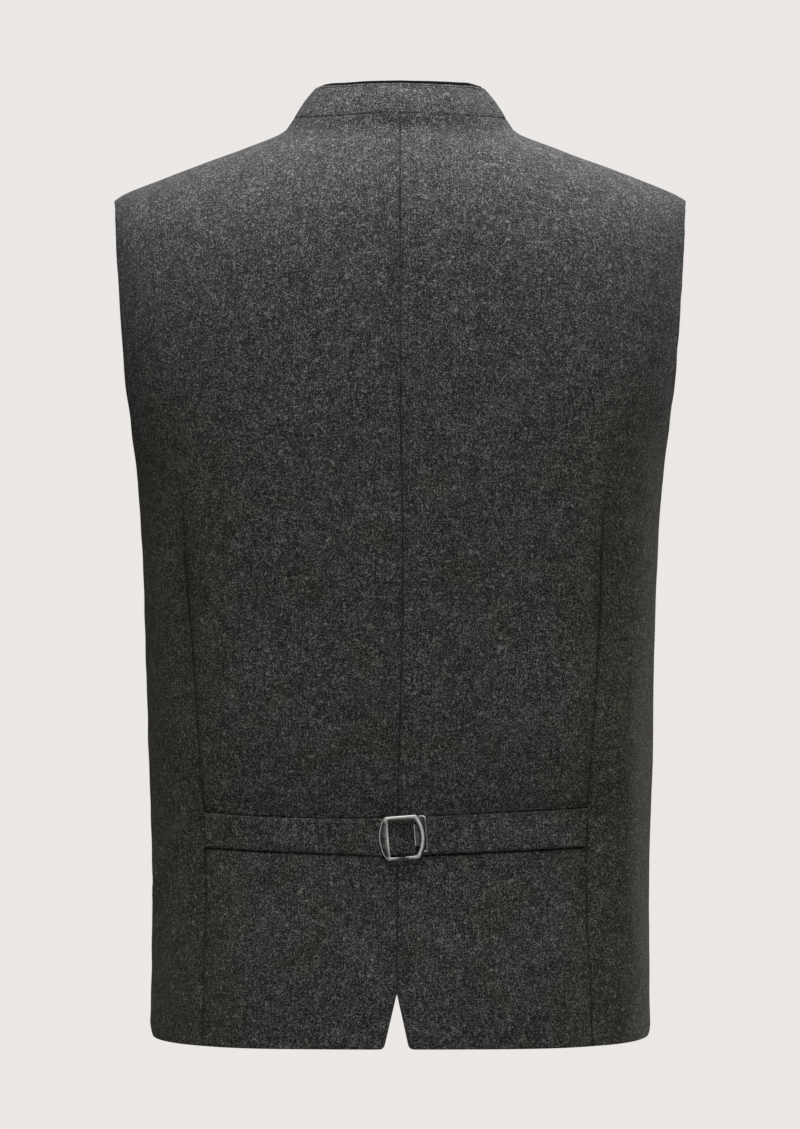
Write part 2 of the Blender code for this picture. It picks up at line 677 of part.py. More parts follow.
def window_outline(angle, grow):
    """The window's edge: straight on the left with rounded corners, bowed on the right."""
    power = WINDOW_POWER
    half_height = WINDOW_HALF_HEIGHT + grow
    tall = np.abs(np.sin(angle) / half_height) ** power
    left = (np.abs(np.cos(angle) / (WINDOW_LEFT + grow)) ** power + tall) ** (-1 / power)
    bow = bowed(angle, BOW_RADIUS - BUCKLE_RIM + grow)
    right = (bow ** -power + tall) ** (-1 / power)
    return np.where(np.cos(angle) > 0, left, right)


def on_buckle(across, up, depth):
    """Points of the upright, slightly turned buckle, from its own axes to the vest's."""
    x = across * math.cos(BUCKLE_TILT) + up * math.sin(BUCKLE_TILT) + BUCKLE_AT[0]
    z = up * math.cos(BUCKLE_TILT) - across * math.sin(BUCKLE_TILT) + BUCKLE_AT[1]
    return np.stack([x, np.full_like(x, depth), z], -1)


def add_buckle(grids):
    """The frame with its window, the flat inner bar and the wire loop. They lie on the straps."""
    row = LOWER_ROWS.index(STRAP_BAND[0])
    back_face = grids["back_left"][0][row:row + 2, 0, 1].max() + STRAP_WALL + BUCKLE_LIFT
    corner = math.atan2(BUCKLE_HALF_HEIGHT, BUCKLE_BAR_HALF)
    corners = [corner, math.pi - corner, math.pi + corner, 2 * math.pi - corner]
    angle = np.sort(np.append(np.arange(48) / 48 * 2 * math.pi, corners))
    loops = []
    for radius, forward in (
            (buckle_outline(angle, 0), 0),
            (buckle_outline(angle, 0), BUCKLE_THICK - BUCKLE_EDGE),
            (buckle_outline(angle, BUCKLE_EDGE), BUCKLE_THICK),
            (window_outline(angle, BUCKLE_EDGE), BUCKLE_THICK),
            (window_outline(angle, 0), BUCKLE_THICK - BUCKLE_EDGE),
            (window_outline(angle, 0), 0)):
        across, up = radius * np.cos(angle), radius * np.sin(angle)
        loops.append(on_buckle(across, up, back_face + forward))
    add_ring("buckle_frame", np.stack(loops), NICKEL)

    straight, foot, top = INNER_BAR
    up = np.linspace(foot, top, 8)
    rim_inside = BOW_RADIUS - BUCKLE_RIM - GAP
    bowed_edge = -(np.sqrt(rim_inside ** 2 - up ** 2) - (BOW_RADIUS - BUCKLE_HALF_WIDTH))
    sides = np.stack([np.full(8, straight), bowed_edge])
    heights = np.stack([up, up])
    face, back = (on_buckle(sides, heights, back_face + forward) for forward in (BAR_THICK, 0))
    add_wall("buckle_bar", face, back, NICKEL)

    across, up = np.array(LOOP_ROUTE).T
    points = on_buckle(across, up, back_face + LOOP_WIRE)
    wire = bpy.data.curves.new("buckle_loop", "CURVE")
    wire.dimensions = "3D"
    wire.bevel_depth = LOOP_WIRE
    wire.bevel_resolution = 2
    wire.use_fill_caps = True
    spline = wire.splines.new("POLY")
    spline.points.add(len(points) - 1)
    spline.points.foreach_set("co", np.append(points, np.ones((len(points), 1)), 1).ravel())
    wire.materials.append(material(*NICKEL))
    bpy.context.collection.objects.link(bpy.data.objects.new("buckle_loop", wire))


# ---------------------------------------------------------------- buttons
def add_buttons():
    """Plain domed metal buttons down the centre front, on the over front."""
    turns = np.arange(BUTTON_SIDES) / BUTTON_SIDES * 2 * math.pi
    radius, height = (column(BUTTON_PROFILE[1:-1], k)[:, None] for k in (0, 1))
    rings = np.stack([radius * np.cos(turns), radius * np.sin(turns), height + 0 * turns], -1)
    vertices = rings.reshape(-1, 3)
    ends = np.array([(0, 0, BUTTON_PROFILE[0][1]), (0, 0, BUTTON_PROFILE[-1][1])])
    number = np.arange(len(vertices)).reshape(-1, BUTTON_SIDES)
    ahead = np.roll(number, -1, 1)
    sides = np.stack([number[:-1], ahead[:-1], ahead[1:], number[1:]], -1)
    faces = sides.reshape(-1, 4).tolist()
    back, front = len(vertices), len(vertices) + 1
    faces += [[back, b, a] for a, b in zip(number[0], ahead[0])]
    faces += [[front, a, b] for a, b in zip(number[-1], ahead[-1])]
    mesh = bpy.data.meshes.new("button")
    mesh.from_pydata(np.concatenate([vertices, ends]).tolist(), [], faces)
    mesh.shade_smooth()
    mesh.set_sharp_from_angle(angle=math.radians(35))
    mesh.materials.append(material(*BUTTON_METAL))
    for k in range(BUTTONS):
        level = np.array(level_of_front_height(BUTTON_TOP - k * BUTTON_STEP))
        out = form_normals(np.array(0.0), level, "front", "left")
        place = form(np.array(0.0), level, "front", "left") + out * BUTTON_LIFT
        button = bpy.data.objects.new(f"button_{k + 1}", mesh)
        button.location = place
        button.rotation_euler = Vector(out).to_track_quat("Z", "Y").to_euler()
        bpy.context.collection.objects.link(button)


def level_of_front_height(z):
    """Level at which the centre front is this high."""
    levels = np.linspace(HEM, RIDGE - 0.05, 600)
    heights = bare_form(np.zeros(600), levels, "front")[:, 2]
    return np.interp(z, heights, levels)


# ---------------------------------------------------------------- the vest
def build_vest():
    for old in list(bpy.data.objects):
        bpy.data.objects.remove(old)
    grids = {}
    for side in ("left", "right"):
        grids["back_" + side] = back_grid(side)
        grids["side_back_" + side] = side_back_grid(side)
        grids["front_" + side] = front_grid(side)
    for side in ("left", "right"):
        add_panel("back_" + side, grids["back_" + side], ("inner", "outer", "top"))
        add_panel("side_back_" + side, grids["side_back_" + side], ("inner", "outer"))
        add_panel("front_" + side, grids["front_" + side], ("outer", "top"))
    add_collar(grids)
    add_straps(grids)
    add_buckle(grids)
    add_buttons()


build_vest()
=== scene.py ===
# %% [markdown]
# # A wool trachten vest
#
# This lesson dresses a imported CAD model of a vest. The CAD part is a set of coarse walls of cloth round
# an empty body form. Each wall is replaced here by a fine shell on the same form: the same seams, but
# with soft folds, rolled edges and a woven, melange surface. The metal parts get their real profiles.
# Everything is in metres: +Z is up, +X is the wearer's left and +Y is the wearer's back.

import math

import bpy
import numpy as np
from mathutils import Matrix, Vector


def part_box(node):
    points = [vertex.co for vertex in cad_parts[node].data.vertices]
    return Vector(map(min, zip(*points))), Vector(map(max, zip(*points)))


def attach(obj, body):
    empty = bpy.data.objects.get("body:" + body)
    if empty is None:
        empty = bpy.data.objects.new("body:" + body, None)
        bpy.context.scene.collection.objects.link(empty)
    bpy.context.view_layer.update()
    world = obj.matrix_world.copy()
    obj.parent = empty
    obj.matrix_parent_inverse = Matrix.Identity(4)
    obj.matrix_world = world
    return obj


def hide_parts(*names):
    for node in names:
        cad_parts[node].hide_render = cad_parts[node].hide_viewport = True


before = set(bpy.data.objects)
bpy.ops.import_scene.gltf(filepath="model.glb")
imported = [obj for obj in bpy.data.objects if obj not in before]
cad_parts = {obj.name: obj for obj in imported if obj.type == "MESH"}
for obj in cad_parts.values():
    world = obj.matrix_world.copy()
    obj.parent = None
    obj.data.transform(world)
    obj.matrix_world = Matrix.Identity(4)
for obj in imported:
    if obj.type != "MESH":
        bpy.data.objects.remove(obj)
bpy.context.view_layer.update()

# %% [markdown]
# ## Camera
#
# The vest is seen from behind, level with its middle, from three metres away with a long lens, as in a
# shop's product pictures. The lens length follows from how much of the scene the frame should hold.

# %% Camera
CAMERA_DISTANCE = 3.0
CAMERA_HEIGHT = -0.3206
VIEW_HEIGHT = 0.8208         # what the camera sees from top to bottom at the vest
SENSOR = 36.0                # mm, along the frame's long side

camera_data = bpy.data.cameras.new("camera")
camera_data.sensor_fit = "VERTICAL"
camera_data.sensor_height = SENSOR
camera_data.lens = SENSOR * CAMERA_DISTANCE / VIEW_HEIGHT
camera = bpy.data.objects.new("camera", camera_data)
camera.location = (0, CAMERA_DISTANCE, CAMERA_HEIGHT)
camera.rotation_euler = (math.radians(90), 0, math.radians(180))
bpy.context.collection.objects.link(camera)
bpy.context.scene.camera = camera
bpy.context.scene.view_settings.view_transform = "Standard"
print(f"lens {camera_data.lens:.1f} mm")

# %% [markdown]
# ## Small tools
#
# The whole vest is worked out with numpy, a whole grid of points at a time. These few curves are used
# everywhere: a smooth line through the points of a table, a soft ramp, and a soft bump.


# %% Curves
def column(table, number):
    """One named column of a table."""
    return np.array([row[number] for row in table])


def smooth(x, xs, ys):
    """Cubic pieces through the points (xs, ys). The slope at a point is the mean slope round it."""
    slope = np.gradient(ys, xs)
    x = np.clip(x, xs[0], xs[-1])
    k = np.clip(np.searchsorted(xs, x) - 1, 0, len(xs) - 2)
    step = xs[k + 1] - xs[k]
    t = (x - xs[k]) / step
    return ((1 + 2 * t) * (1 - t) ** 2 * ys[k] + t * (1 - t) ** 2 * step * slope[k]
            + t * t * (3 - 2 * t) * ys[k + 1] + t * t * (t - 1) * step * slope[k + 1])


def ramp(x, start, end):
    """0 before start and 1 after end, with the S curve 3t^2 - 2t^3 between them."""
    t = np.clip((x - start) / (end - start), 0, 1)
    return t * t * (3 - 2 * t)


def bump(x, middle, width):
    """A bell: exp(-((x - middle) / width)^2)."""
    return np.exp(-((x - middle) / width) ** 2)


def unit(vectors):
    """The vectors at length 1."""
    return vectors / np.maximum(np.linalg.norm(vectors, axis=-1, keepdims=True), 1e-12)

# %% [markdown]
# ## The body form
#
# A vest on a body is close to a tube with rounded corners that closes over the shoulders. Two numbers
# name a place on it. `share` runs round it in even steps of cloth: 0 at the centre, 1 at the wearer's
# left side and -1 at the right side. `level` runs up it: it is the height below the chest, and above
# the chest it bends over to the shoulder line. The front and the back half each have such a surface.
# These are the numbers of the CAD source, so every shell lies where its solid is. A few are fitted more
# closely: the hem, the seams of the back, two folds, the foot of the armhole and the strap's right end.

# %% Sizes of the form
WALL = 0.0024            # thickness of the wool with its backing
GAP = 0.0003             # between neighbouring pieces
HEM = -0.6592            # the soft edge hangs a millimetre lower than the CAD wall
CHEST = -0.215           # above this height the form closes over the shoulders
ARCH = 0.37              # rise of `level` from there to the shoulder line
RIDGE = CHEST + ARCH
SECTION_POWER = 3.0      # 2 is an ellipse, more is squarer
OVER_POWER = {"back": 2.2, "front": 2.0}
USUAL_HALF_WIDTH, USUAL_DEPTH = 0.185, 0.118

SHOULDER_TOP, SHOULDER_SLOPE, SHOULDER_ROUND = 0.0109, 0.39, 0.045
TIP, TIP_DROOP, TIP_POWER = 0.208, 0.0028, 40
NECK_HALF, NECK_BACK, NECK_FRONT, NECK_POWER = 0.0775, 0.055, 0.100, 2.2
NECK_RISE, NECK_REACH = 0.0087, 0.0045

FORM = (
    # level, half_width, back_depth, front_depth
    (-0.658, 0.1812, 0.1180, 0.1200),
    (-0.600, 0.1800, 0.1150, 0.1190),
    (-0.557, 0.1795, 0.1105, 0.1180),
    (-0.508, 0.1805, 0.1075, 0.1175),
    (-0.470, 0.1817, 0.1085, 0.1180),
    (-0.426, 0.1828, 0.1110, 0.1190),
    (-0.382, 0.1840, 0.1145, 0.1205),
    (-0.339, 0.1853, 0.1180, 0.1220),
    (-0.310, 0.1865, 0.1205, 0.1230),
    (-0.281, 0.1883, 0.1225, 0.1235),
    (-0.252, 0.1908, 0.1240, 0.1230),
    (-0.2225, 0.1967, 0.1250, 0.1215),
    (-0.193, 0.2023, 0.1250, 0.1200),
    (-0.140, 0.2071, 0.1250, 0.1185),
    (-0.051, 0.2100, 0.1250, 0.1180),
    (0.155, 0.2140, 0.1250, 0.1180),
)


# %% The bare form
def section(angle):
    """Rounded rectangle |x|^p + |y|^p = 1: its across and depth parts at an angle from the centre."""
    across = np.sign(angle) * np.abs(np.sin(angle)) ** (2 / SECTION_POWER)
    return across, np.clip(np.cos(angle), 0, 1) ** (2 / SECTION_POWER)


ANGLES = np.linspace(0, math.pi / 2, 2001)
ACROSS, DEPTH = section(ANGLES)
WALKED = np.append(0, np.cumsum(np.hypot(np.diff(ACROSS * USUAL_HALF_WIDTH),
                                         np.diff(DEPTH * USUAL_DEPTH))))
QUARTER_GIRTH = WALKED[-1]
SHARES = WALKED / QUARTER_GIRTH


def angle_of_share(share):
    """Angle of a share, so that equal shares are equal lengths of cloth."""
    return np.sign(share) * np.interp(np.abs(share), SHARES, ANGLES)


def share_of_across(across):
    """Share at which the form's width is this part of its half-width."""
    angle = np.arcsin(np.clip(np.abs(across), 0, 1) ** (SECTION_POWER / 2))
    return np.sign(across) * np.interp(angle, ANGLES, SHARES)


def share_of_depth(depth):
    """Share at which the form's depth is this part of its depth at the centre."""
    return np.interp(np.arccos(np.clip(depth, 0, 1) ** (SECTION_POWER / 2)), ANGLES, SHARES)


def half_width(level):
    """Half the form's width."""
    return smooth(level, column(FORM, 0), column(FORM, 1))


def full_depth(level, half):
    """Depth of the back or front half at its centre."""
    return smooth(level, column(FORM, 0), column(FORM, 2 if half == "back" else 3))


def shoulder_line(x):
    """Height of the shoulder line: a straight slope, rounded at the neck, that droops at the tip."""
    slope = SHOULDER_SLOPE * (np.sqrt(x * x + SHOULDER_ROUND ** 2) - SHOULDER_ROUND)
    return SHOULDER_TOP - slope - TIP_DROOP * (np.abs(x) / TIP) ** TIP_POWER


def neck_distance(x, y):
    """Distance outside the neck seam, seen from above."""
    depth = np.where(y > 0, NECK_BACK, NECK_FRONT)
    ratio = (np.abs(x) / NECK_HALF) ** NECK_POWER + (np.abs(y) / depth) ** NECK_POWER
    return np.maximum(ratio ** (1 / NECK_POWER) - 1, 0) * NECK_HALF


def bare_form(share, level, half):
    """Point of the form. A rounded rectangle, whose front-to-back slices close over the shoulder
    line as quarter ovals: depth times sin(a)^k and height times cos(a)^k, with k = 2 / power."""
    across, depth = section(angle_of_share(share))
    angle = np.clip((RIDGE - level) / ARCH, 0, 1) * math.pi / 2
    power = 2 / OVER_POWER[half]
    x = half_width(level) * across
    y = full_depth(level, half) * depth * np.sin(angle) ** power
    y = y if half == "back" else -y
    lift = (shoulder_line(x) - CHEST) * np.cos(angle) ** power
    z = np.where(level > CHEST, CHEST + lift, level)
    z = z + NECK_RISE * np.exp(-neck_distance(x, y) / NECK_REACH) * (level > CHEST)
    return np.stack([x, y, z], -1)


def normals(surface, share, level, half):
    """Outward unit normals, from the cross product of short steps along the surface."""
    step = 0.0004
    share, level = np.clip(share, -1, 1), np.minimum(level, RIDGE)
    across = surface(np.minimum(share + step, 1), level) - surface(np.maximum(share - step, -1), level)
    up = surface(share, np.minimum(level + step, RIDGE)) - surface(share, level - step)
    return unit(np.cross(up, across) if half == "back" else np.cross(across, up))


print(f"girth {4 * QUARTER_GIRTH:.3f} m, shoulder tips at {shoulder_line(np.array(TIP)):.4f} m")

# %% [markdown]
# ## Folds
#
# Worn wool is never a clean tube. It sinks beside the side back seams, where the strap pulls it in, and
# flares into soft waves below the strap. A wool this thick makes broad, shallow folds without sharp
# edges, so each one is a bell-shaped trough or ridge along a straight line on the cloth. The first
# table is also in the CAD source, but its third and fourth folds lie nearer to the centre back here,
# and the third one higher. The second adds smaller creases, also on the hidden sides and the front.

# %% Fold tables
# `low` and `high` place a fold's two ends round the vest: 0 centre back, 1 side, 2 centre front.
FOLDS = (
    # side, low, level_low, high, level_high, half_width, depth (+ stands out)
    ("left", 0.600, -0.420, 0.640, -0.275, 0.014, -0.0030),
    ("right", 0.560, -0.420, 0.590, -0.290, 0.014, -0.0022),
    ("left", 0.840, -0.560, 0.660, -0.508, 0.007, 0.0026),
    ("right", 0.690, -0.600, 0.625, -0.420, 0.020, 0.0046),
    ("left", 0.440, -0.660, 0.400, -0.560, 0.028, 0.0030),
    ("right", 0.420, -0.660, 0.400, -0.560, 0.028, 0.0030),
    ("left", 0.560, -0.660, 0.540, -0.560, 0.016, -0.0022),
    ("right", 0.545, -0.660, 0.535, -0.560, 0.016, -0.0022),
    ("left", 1.450, -0.660, 1.300, -0.330, 0.030, 0.0030),
    ("right", 1.420, -0.660, 1.320, -0.300, 0.030, 0.0030),
)
CREASES = (
    # side, low, level_low, high, level_high, half_width, depth
    ("right", 0.200, -0.010, 0.120, 0.060, 0.006, -0.0006),
    ("right", 0.260, -0.010, 0.190, 0.060, 0.006, 0.0005),
    ("left", 0.250, -0.020, 0.180, 0.055, 0.008, -0.0004),
    ("right", 0.770, -0.184, 0.640, -0.179, 0.0022, -0.0007),
    ("left", 0.700, -0.480, 0.680, -0.300, 0.012, 0.0009),
    ("right", 0.690, -0.480, 0.680, -0.300, 0.010, 0.0008),
    ("left", 0.880, -0.640, 0.860, -0.480, 0.014, -0.0012),
    ("right", 0.950, -0.640, 0.930, -0.420, 0.012, -0.0010),
    ("left", 0.200, -0.480, 0.250, -0.400, 0.020, -0.0006),
    ("right", 0.230, -0.480, 0.280, -0.380, 0.020, -0.0006),
    ("left", 0.060, -0.600, 0.100, -0.545, 0.016, -0.0012),
    ("right", 0.080, -0.600, 0.100, -0.545, 0.016, -0.0012),
    ("right", 0.930, -0.610, 0.900, -0.430, 0.009, 0.0016),
    ("left", 1.120, -0.560, 1.060, -0.340, 0.016, -0.0014),
    ("right", 1.140, -0.580, 1.070, -0.330, 0.016, -0.0014),
    ("left", 1.620, -0.640, 1.560, -0.430, 0.022, -0.0014),
    ("right", 1.600, -0.640, 1.550, -0.450, 0.022, -0.0014),
    ("left", 1.200, -0.240, 1.480, -0.100, 0.020, 0.0014),
    ("right", 1.200, -0.240, 1.470, -0.110, 0.020, 0.0014),
    ("left", 1.340, -0.300, 1.640, -0.215, 0.016, -0.0010),
    ("right", 1.330, -0.300, 1.640, -0.225, 0.016, -0.0010),
    ("left", 1.820, -0.520, 1.700, -0.440, 0.012, -0.0007),
    ("right", 1.830, -0.420, 1.710, -0.350, 0.012, -0.0007),
)

# %% Strap sizes
STRAP_ENDS = {
    # side: (bottom, top) at its seam, (bottom, top) at the centre
    "left": ((-0.5203, -0.4950), (-0.5254, -0.4977)),
    "right": ((-0.5197, -0.4919), (-0.5251, -0.4977)),
}
STRAP_REACH = {"left": 0.1380, "right": 0.1315}          # its seams, from the centre plane
STRAP_LEVEL = -0.508                                     # its middle
STRAP_SAG, STRAP_SINK = 0.0018, 0.0015

# %% Folds of the form
FOLD_GROWS, FOLD_FADES = (-0.35, 0.25), (0.7, 1.35)      # parts of a fold's length
STAND_OUT = (
    # level, width, height: the back bells out above the strap and tucks in just over it
    (-0.435, 0.050, 0.0045),
    (-0.498, 0.016, -0.0016),
)
FLARE, FLARE_LEVELS = 0.0035, (-0.635, -0.560)           # below the strap
BLOUSING_FADES = (0.45, 0.80)                            # shares
GROOVE_STEP, GROOVE_SLOPE, STEP_PART = (-0.0018, 0.0006), 0.0100, 0.65       # at the strap's top
GROOVE_FOOT, FOOT_RISE = {"left": 0.0024, "right": 0.0014}, 0.0008           # at its bottom
GROOVE_ENDS = (0.98, 1.04)                               # parts of the way to its seam
HEM_CURL, HEM_CURL_HEIGHT, HEM_CURL_REACH = 0.005, 0.010, 0.16
SWELL, FRONT_OFFSET = 0.00022, 0.9                       # the front has another stretch of the waves


def fold_height(share, level, half, table):
    """Sum of the folds: depth times a bell across each fold's line, faded out at its two ends."""
    place = np.abs(share) if half == "back" else 2 - np.abs(share)
    on_left = share >= 0
    height = np.zeros(np.shape(share))
    for side, low, level_low, high, level_high, width, depth in table:
        along = (level - level_low) / (level_high - level_low)
        middle = low + (high - low) * along
        ends = ramp(along, *FOLD_GROWS) * (1 - ramp(along, *FOLD_FADES))
        bell = bump((place - middle) * QUARTER_GIRTH, 0, width)
        height = height + depth * bell * ends * (on_left == (side == "left"))
    return height


def blousing(share, level, half):
    """The strap draws the back in. The cloth stands out above it, tucks in just over it and flares
    below it: two bells and a ramp up the back, which fade round the side."""
    bells = sum(height * bump(level, middle, width) for middle, width, height in STAND_OUT)
    flare = FLARE * (1 - ramp(level, *FLARE_LEVELS))
    reach = 1 - ramp(np.abs(share), *BLOUSING_FADES)
    return (bells + flare) * reach if half == "back" else np.zeros(np.shape(share))


def level_share(reach):
    """Share of the back at a distance from the centre plane, at the strap."""
    return float(share_of_across(reach / half_width(STRAP_LEVEL)))


def strap_edges(share):
    """Levels of the strap's bottom and top, and the part of the way from the centre to its seam."""
    on_left = np.asarray(share) >= 0
    toward = np.abs(share) / np.where(on_left, level_share(STRAP_REACH["left"]),
                                      level_share(STRAP_REACH["right"]))
    edges = []
    for k in (0, 1):
        at_seam, at_centre = (np.where(on_left, STRAP_ENDS["left"][end][k], STRAP_ENDS["right"][end][k])
                              for end in (0, 1))
        edges.append(at_centre + (at_seam - at_centre) * toward)
    sag = STRAP_SAG * on_left * np.clip(4 * toward * (1 - toward), 0, 1)
    return edges[0], edges[1] - sag, toward


def strap_groove(share, level, half):
    """The strap presses a groove with soft edges into the back, which ends at the two seams."""
    if half == "front":
        return np.zeros(np.shape(share))
    bottom, top, toward = strap_edges(share)
    step = 1 - ramp(level, top + GROOVE_STEP[0], top + GROOVE_STEP[1])
    slope = 1 - ramp(level, top, top + GROOVE_SLOPE)
    below = np.where(share >= 0, GROOVE_FOOT["left"], GROOVE_FOOT["right"])
    upper = STEP_PART * step + (1 - STEP_PART) * slope
    inside = ramp(level, bottom - below, bottom + FOOT_RISE) * upper
    return -STRAP_SINK * inside * (1 - ramp(toward, *GROOVE_ENDS))


def turned_hem(share, level):
    """At the sides the hem curls in, by a quarter circle that is squeezed to half its depth."""
    inward = 1 - np.clip((level - HEM) / HEM_CURL_HEIGHT, 0, 1)
    return -HEM_CURL * (1 - np.sqrt(1 - inward ** 2)) * bump(np.abs(share), 1, HEM_CURL_REACH)


def unevenness(share, level, half):
    """Slow swells of the cloth, from a few waves whose lengths have no common measure."""
    x = share * QUARTER_GIRTH + (0.0 if half == "back" else FRONT_OFFSET)
    waves = (np.sin(97 * x + 3.1 * np.sin(23 * level)) * np.cos(41 * level + 17 * x)
             + 0.7 * np.sin(151 * x - 61 * level + 1.7) * np.sin(67 * level + 0.6)
             + 0.5 * np.cos(213 * level + 71 * x) * np.sin(37 * x + 2.2))
    return SWELL * waves


def surface(share, level, half):
    """Point of the worn vest: the bare form, moved along its normal by folds and swells."""
    share, level = np.broadcast_arrays(share, level)
    out = normals(lambda s, v: bare_form(s, v, half), share, level, half)
    height = (fold_height(share, level, half, FOLDS) + fold_height(share, level, half, CREASES)
              + blousing(share, level, half) + strap_groove(share, level, half)
              + turned_hem(share, level) + unevenness(share, level, half))
    return bare_form(share, level, half) + out * height[..., None]


def surface_normals(share, level, half):
    """Outward normals of the worn vest."""
    share, level = np.broadcast_arrays(share, level)
    return normals(lambda s, v: surface(s, v, half), share, level, half)


print(len(FOLDS), "main folds and", len(CREASES), "creases")

# %% [markdown]
# ## Outlines of the panels
#
# A tailor cuts this vest from six panels: two centre backs, two side backs and two fronts. Their edges
# are curves on the form, each given as the share at which it lies for a level. The centre back seam
# opens into a small V at its foot. The side back seams bend out to the armholes at the top.

# %% Edges of the panels
VENT_APEX, VENT_HALF, VENT_CORNER = -0.6205, 0.0088, 0.0030
CENTRE_DRIFT, CENTRE_SWAY = 0.0025, -0.0026      # the centre seam's foot, and its bow above the waist
SWAY_LEVEL, SWAY_WIDTH = -0.335, 0.10
CLOSURE = 0.017          # how far each front reaches past the centre
TUCK, TUCK_REACH = 0.0030, (0.003, 0.028)        # the right front dips below the left one
CUTAWAY, CUTAWAY_PART = 0.060, 0.42

ARMHOLE = (
    # level, back, front (parts of the form's depth)
    (-0.272, 0.000, 0.000),
    (-0.264, 0.140, 0.160),
    (-0.252, 0.240, 0.280),
    (-0.236, 0.335, 0.380),
    (-0.215, 0.415, 0.450),
    (-0.180, 0.465, 0.480),
    (-0.120, 0.485, 0.480),
    (-0.050, 0.460, 0.440),
    (0.155, 0.4325, 0.4325),
)
SIDE_BACK_SEAM = (
    # level, left, right (distance from the centre plane)
    (-0.658, 0.1384, 0.1344),
    (-0.600, 0.1378, 0.1331),
    (-0.508, 0.1378, 0.1312),
    (-0.465, 0.1394, 0.1324),
    (-0.420, 0.1424, 0.1359),
    (-0.380, 0.1470, 0.1398),
    (-0.340, 0.1513, 0.1424),
    (-0.300, 0.1535, 0.1425),
    (-0.275, 0.1545, 0.1440),
    (-0.255, 0.1575, 0.1485),
    (-0.235, 0.1645, 0.1575),
    (-0.218, 0.1765, 0.1725),
)
SEAM_TOP = -0.205
UNDERARM = ARMHOLE[0][0]
IMPROVEMENTS = 60        # rounds that find a place on the shoulder


def armhole_share(level, half):
    """Share of the armhole edge. Below the armhole it is 1, the side seam. The table is read by the
    square root of the height above the foot of the armhole, which makes that foot round."""
    root = np.sqrt(np.clip(np.asarray(level) - UNDERARM, 0, None))
    roots = np.sqrt(column(ARMHOLE, 0) - UNDERARM)
    part = smooth(root, roots, column(ARMHOLE, 1 if half == "back" else 2))
    return np.where(level <= UNDERARM, 1.0, share_of_depth(np.clip(part, 0, 1)))


def side_back_share(level, side):
    """Share of the side back seam. From the last row of its table it bends out to the armhole."""
    levels = np.append(column(SIDE_BACK_SEAM, 0), SEAM_TOP)
    reach = column(SIDE_BACK_SEAM, 1 if side == "left" else 2)
    shares = share_of_across(reach / half_width(levels[:-1]))
    return smooth(level, levels, np.append(shares, armhole_share(np.array(SEAM_TOP), "back")))


def centre_back_share(level, side):
    """Share of a back panel's inner edge: the swaying centre seam, opened to a V below its apex,
    with a quarter circle at each foot of the V."""
    drift = CENTRE_DRIFT * np.clip((CHEST - level) / (CHEST - HEM), 0, 1)
    drift = drift + CENTRE_SWAY * bump(level, SWAY_LEVEL, SWAY_WIDTH)
    opening = VENT_HALF * np.clip((VENT_APEX - level) / (VENT_APEX - HEM), 0, 1)
    inward = 1 - np.clip((level - HEM) / VENT_CORNER, 0, 1)
    opening = opening + VENT_CORNER * (1 - np.sqrt(1 - inward ** 2))
    return share_of_across((opening + (drift if side == "left" else -drift)) / half_width(level))


def front_edge_share(level):
    """Share of a front's edge, which lies past the centre line."""
    return share_of_across(-CLOSURE / half_width(level))


def place_on_shoulder(x, y, half):
    """Share and level of the point of the form seen at (x, y) from above, by repeated improvement
    of a first guess."""
    level = np.full(np.shape(x), RIDGE - ARCH * 0.2)
    for _ in range(IMPROVEMENTS):
        share = share_of_across(x / half_width(level))
        depth = section(angle_of_share(share))[1] * full_depth(level, half)
        lift = np.clip(np.abs(y) / depth, 0, 1) ** (OVER_POWER[half] / 2)
        level = RIDGE - ARCH * np.arcsin(lift) / (math.pi / 2)
    return share, level


def turn_of_across(x):
    """Turn of the neck seam, 0 at the centre and 1 at the shoulder, at a distance x across."""
    part = np.clip(np.abs(x) / NECK_HALF, 0, 1) ** (NECK_POWER / 2)
    return np.sign(x) * np.arcsin(part) / (math.pi / 2)


def neck_ring(turns, half):
    """Share and level of points on the neck seam, an oval of the same power as its distance."""
    angle = np.asarray(turns) * math.pi / 2
    x = NECK_HALF * np.sign(angle) * np.abs(np.sin(angle)) ** (2 / NECK_POWER)
    depth = NECK_BACK if half == "back" else NECK_FRONT
    share, level = place_on_shoulder(x, depth * np.clip(np.cos(angle), 0, 1) ** (2 / NECK_POWER), half)
    return share, np.where(angle >= math.pi / 2 - 1e-9, RIDGE, level)

# %% [markdown]
# ## Grids of the panels
#
# Every panel is a grid of rows and columns between its two long edges. Beside each edge the lines are
# packed closely, because there the cloth rolls over. Above the chest the rows fan out, so that the top
# row ends exactly on the neck seam and the shoulder seam.

# %% Rows and columns
EDGE_STEPS = np.array([0, 0.00015, 0.0004, 0.0008, 0.0012, 0.0020, 0.0034, 0.0054])
MESH_STEP, BAND_STEP = 0.0031, 0.0011                # rows are closer where the strap lies
STRAP_BAND = (-0.530, -0.487)
ROW_LENGTH = {"back": 0.165, "side_back": 0.05, "front": 0.24, "shoulder": 0.125}    # about
RING_COLUMNS, SHOULDER_COLUMNS, SIDE_COLUMNS = {"back": 30, "front": 42}, 32, 14
GATHER_FROM = 0.35                                   # part of the upper rows that keep even columns
CHEST_ROW = -0.244
LOWER_ROWS = np.concatenate([
    HEM + EDGE_STEPS, np.arange(HEM + EDGE_STEPS[-1] + 0.0025, STRAP_BAND[0] - 0.001, MESH_STEP),
    np.arange(STRAP_BAND[0], STRAP_BAND[1], BAND_STEP),
    np.arange(STRAP_BAND[1], CHEST_ROW - 0.002, MESH_STEP), [CHEST_ROW]])
SHOULDER_EDGE = EDGE_STEPS[::-1] / 0.25              # the edge steps as parts of the upper rows
UPPER_COUNT, UPPER_PACKING = 74, 1.25                # rows are closer just above the chest
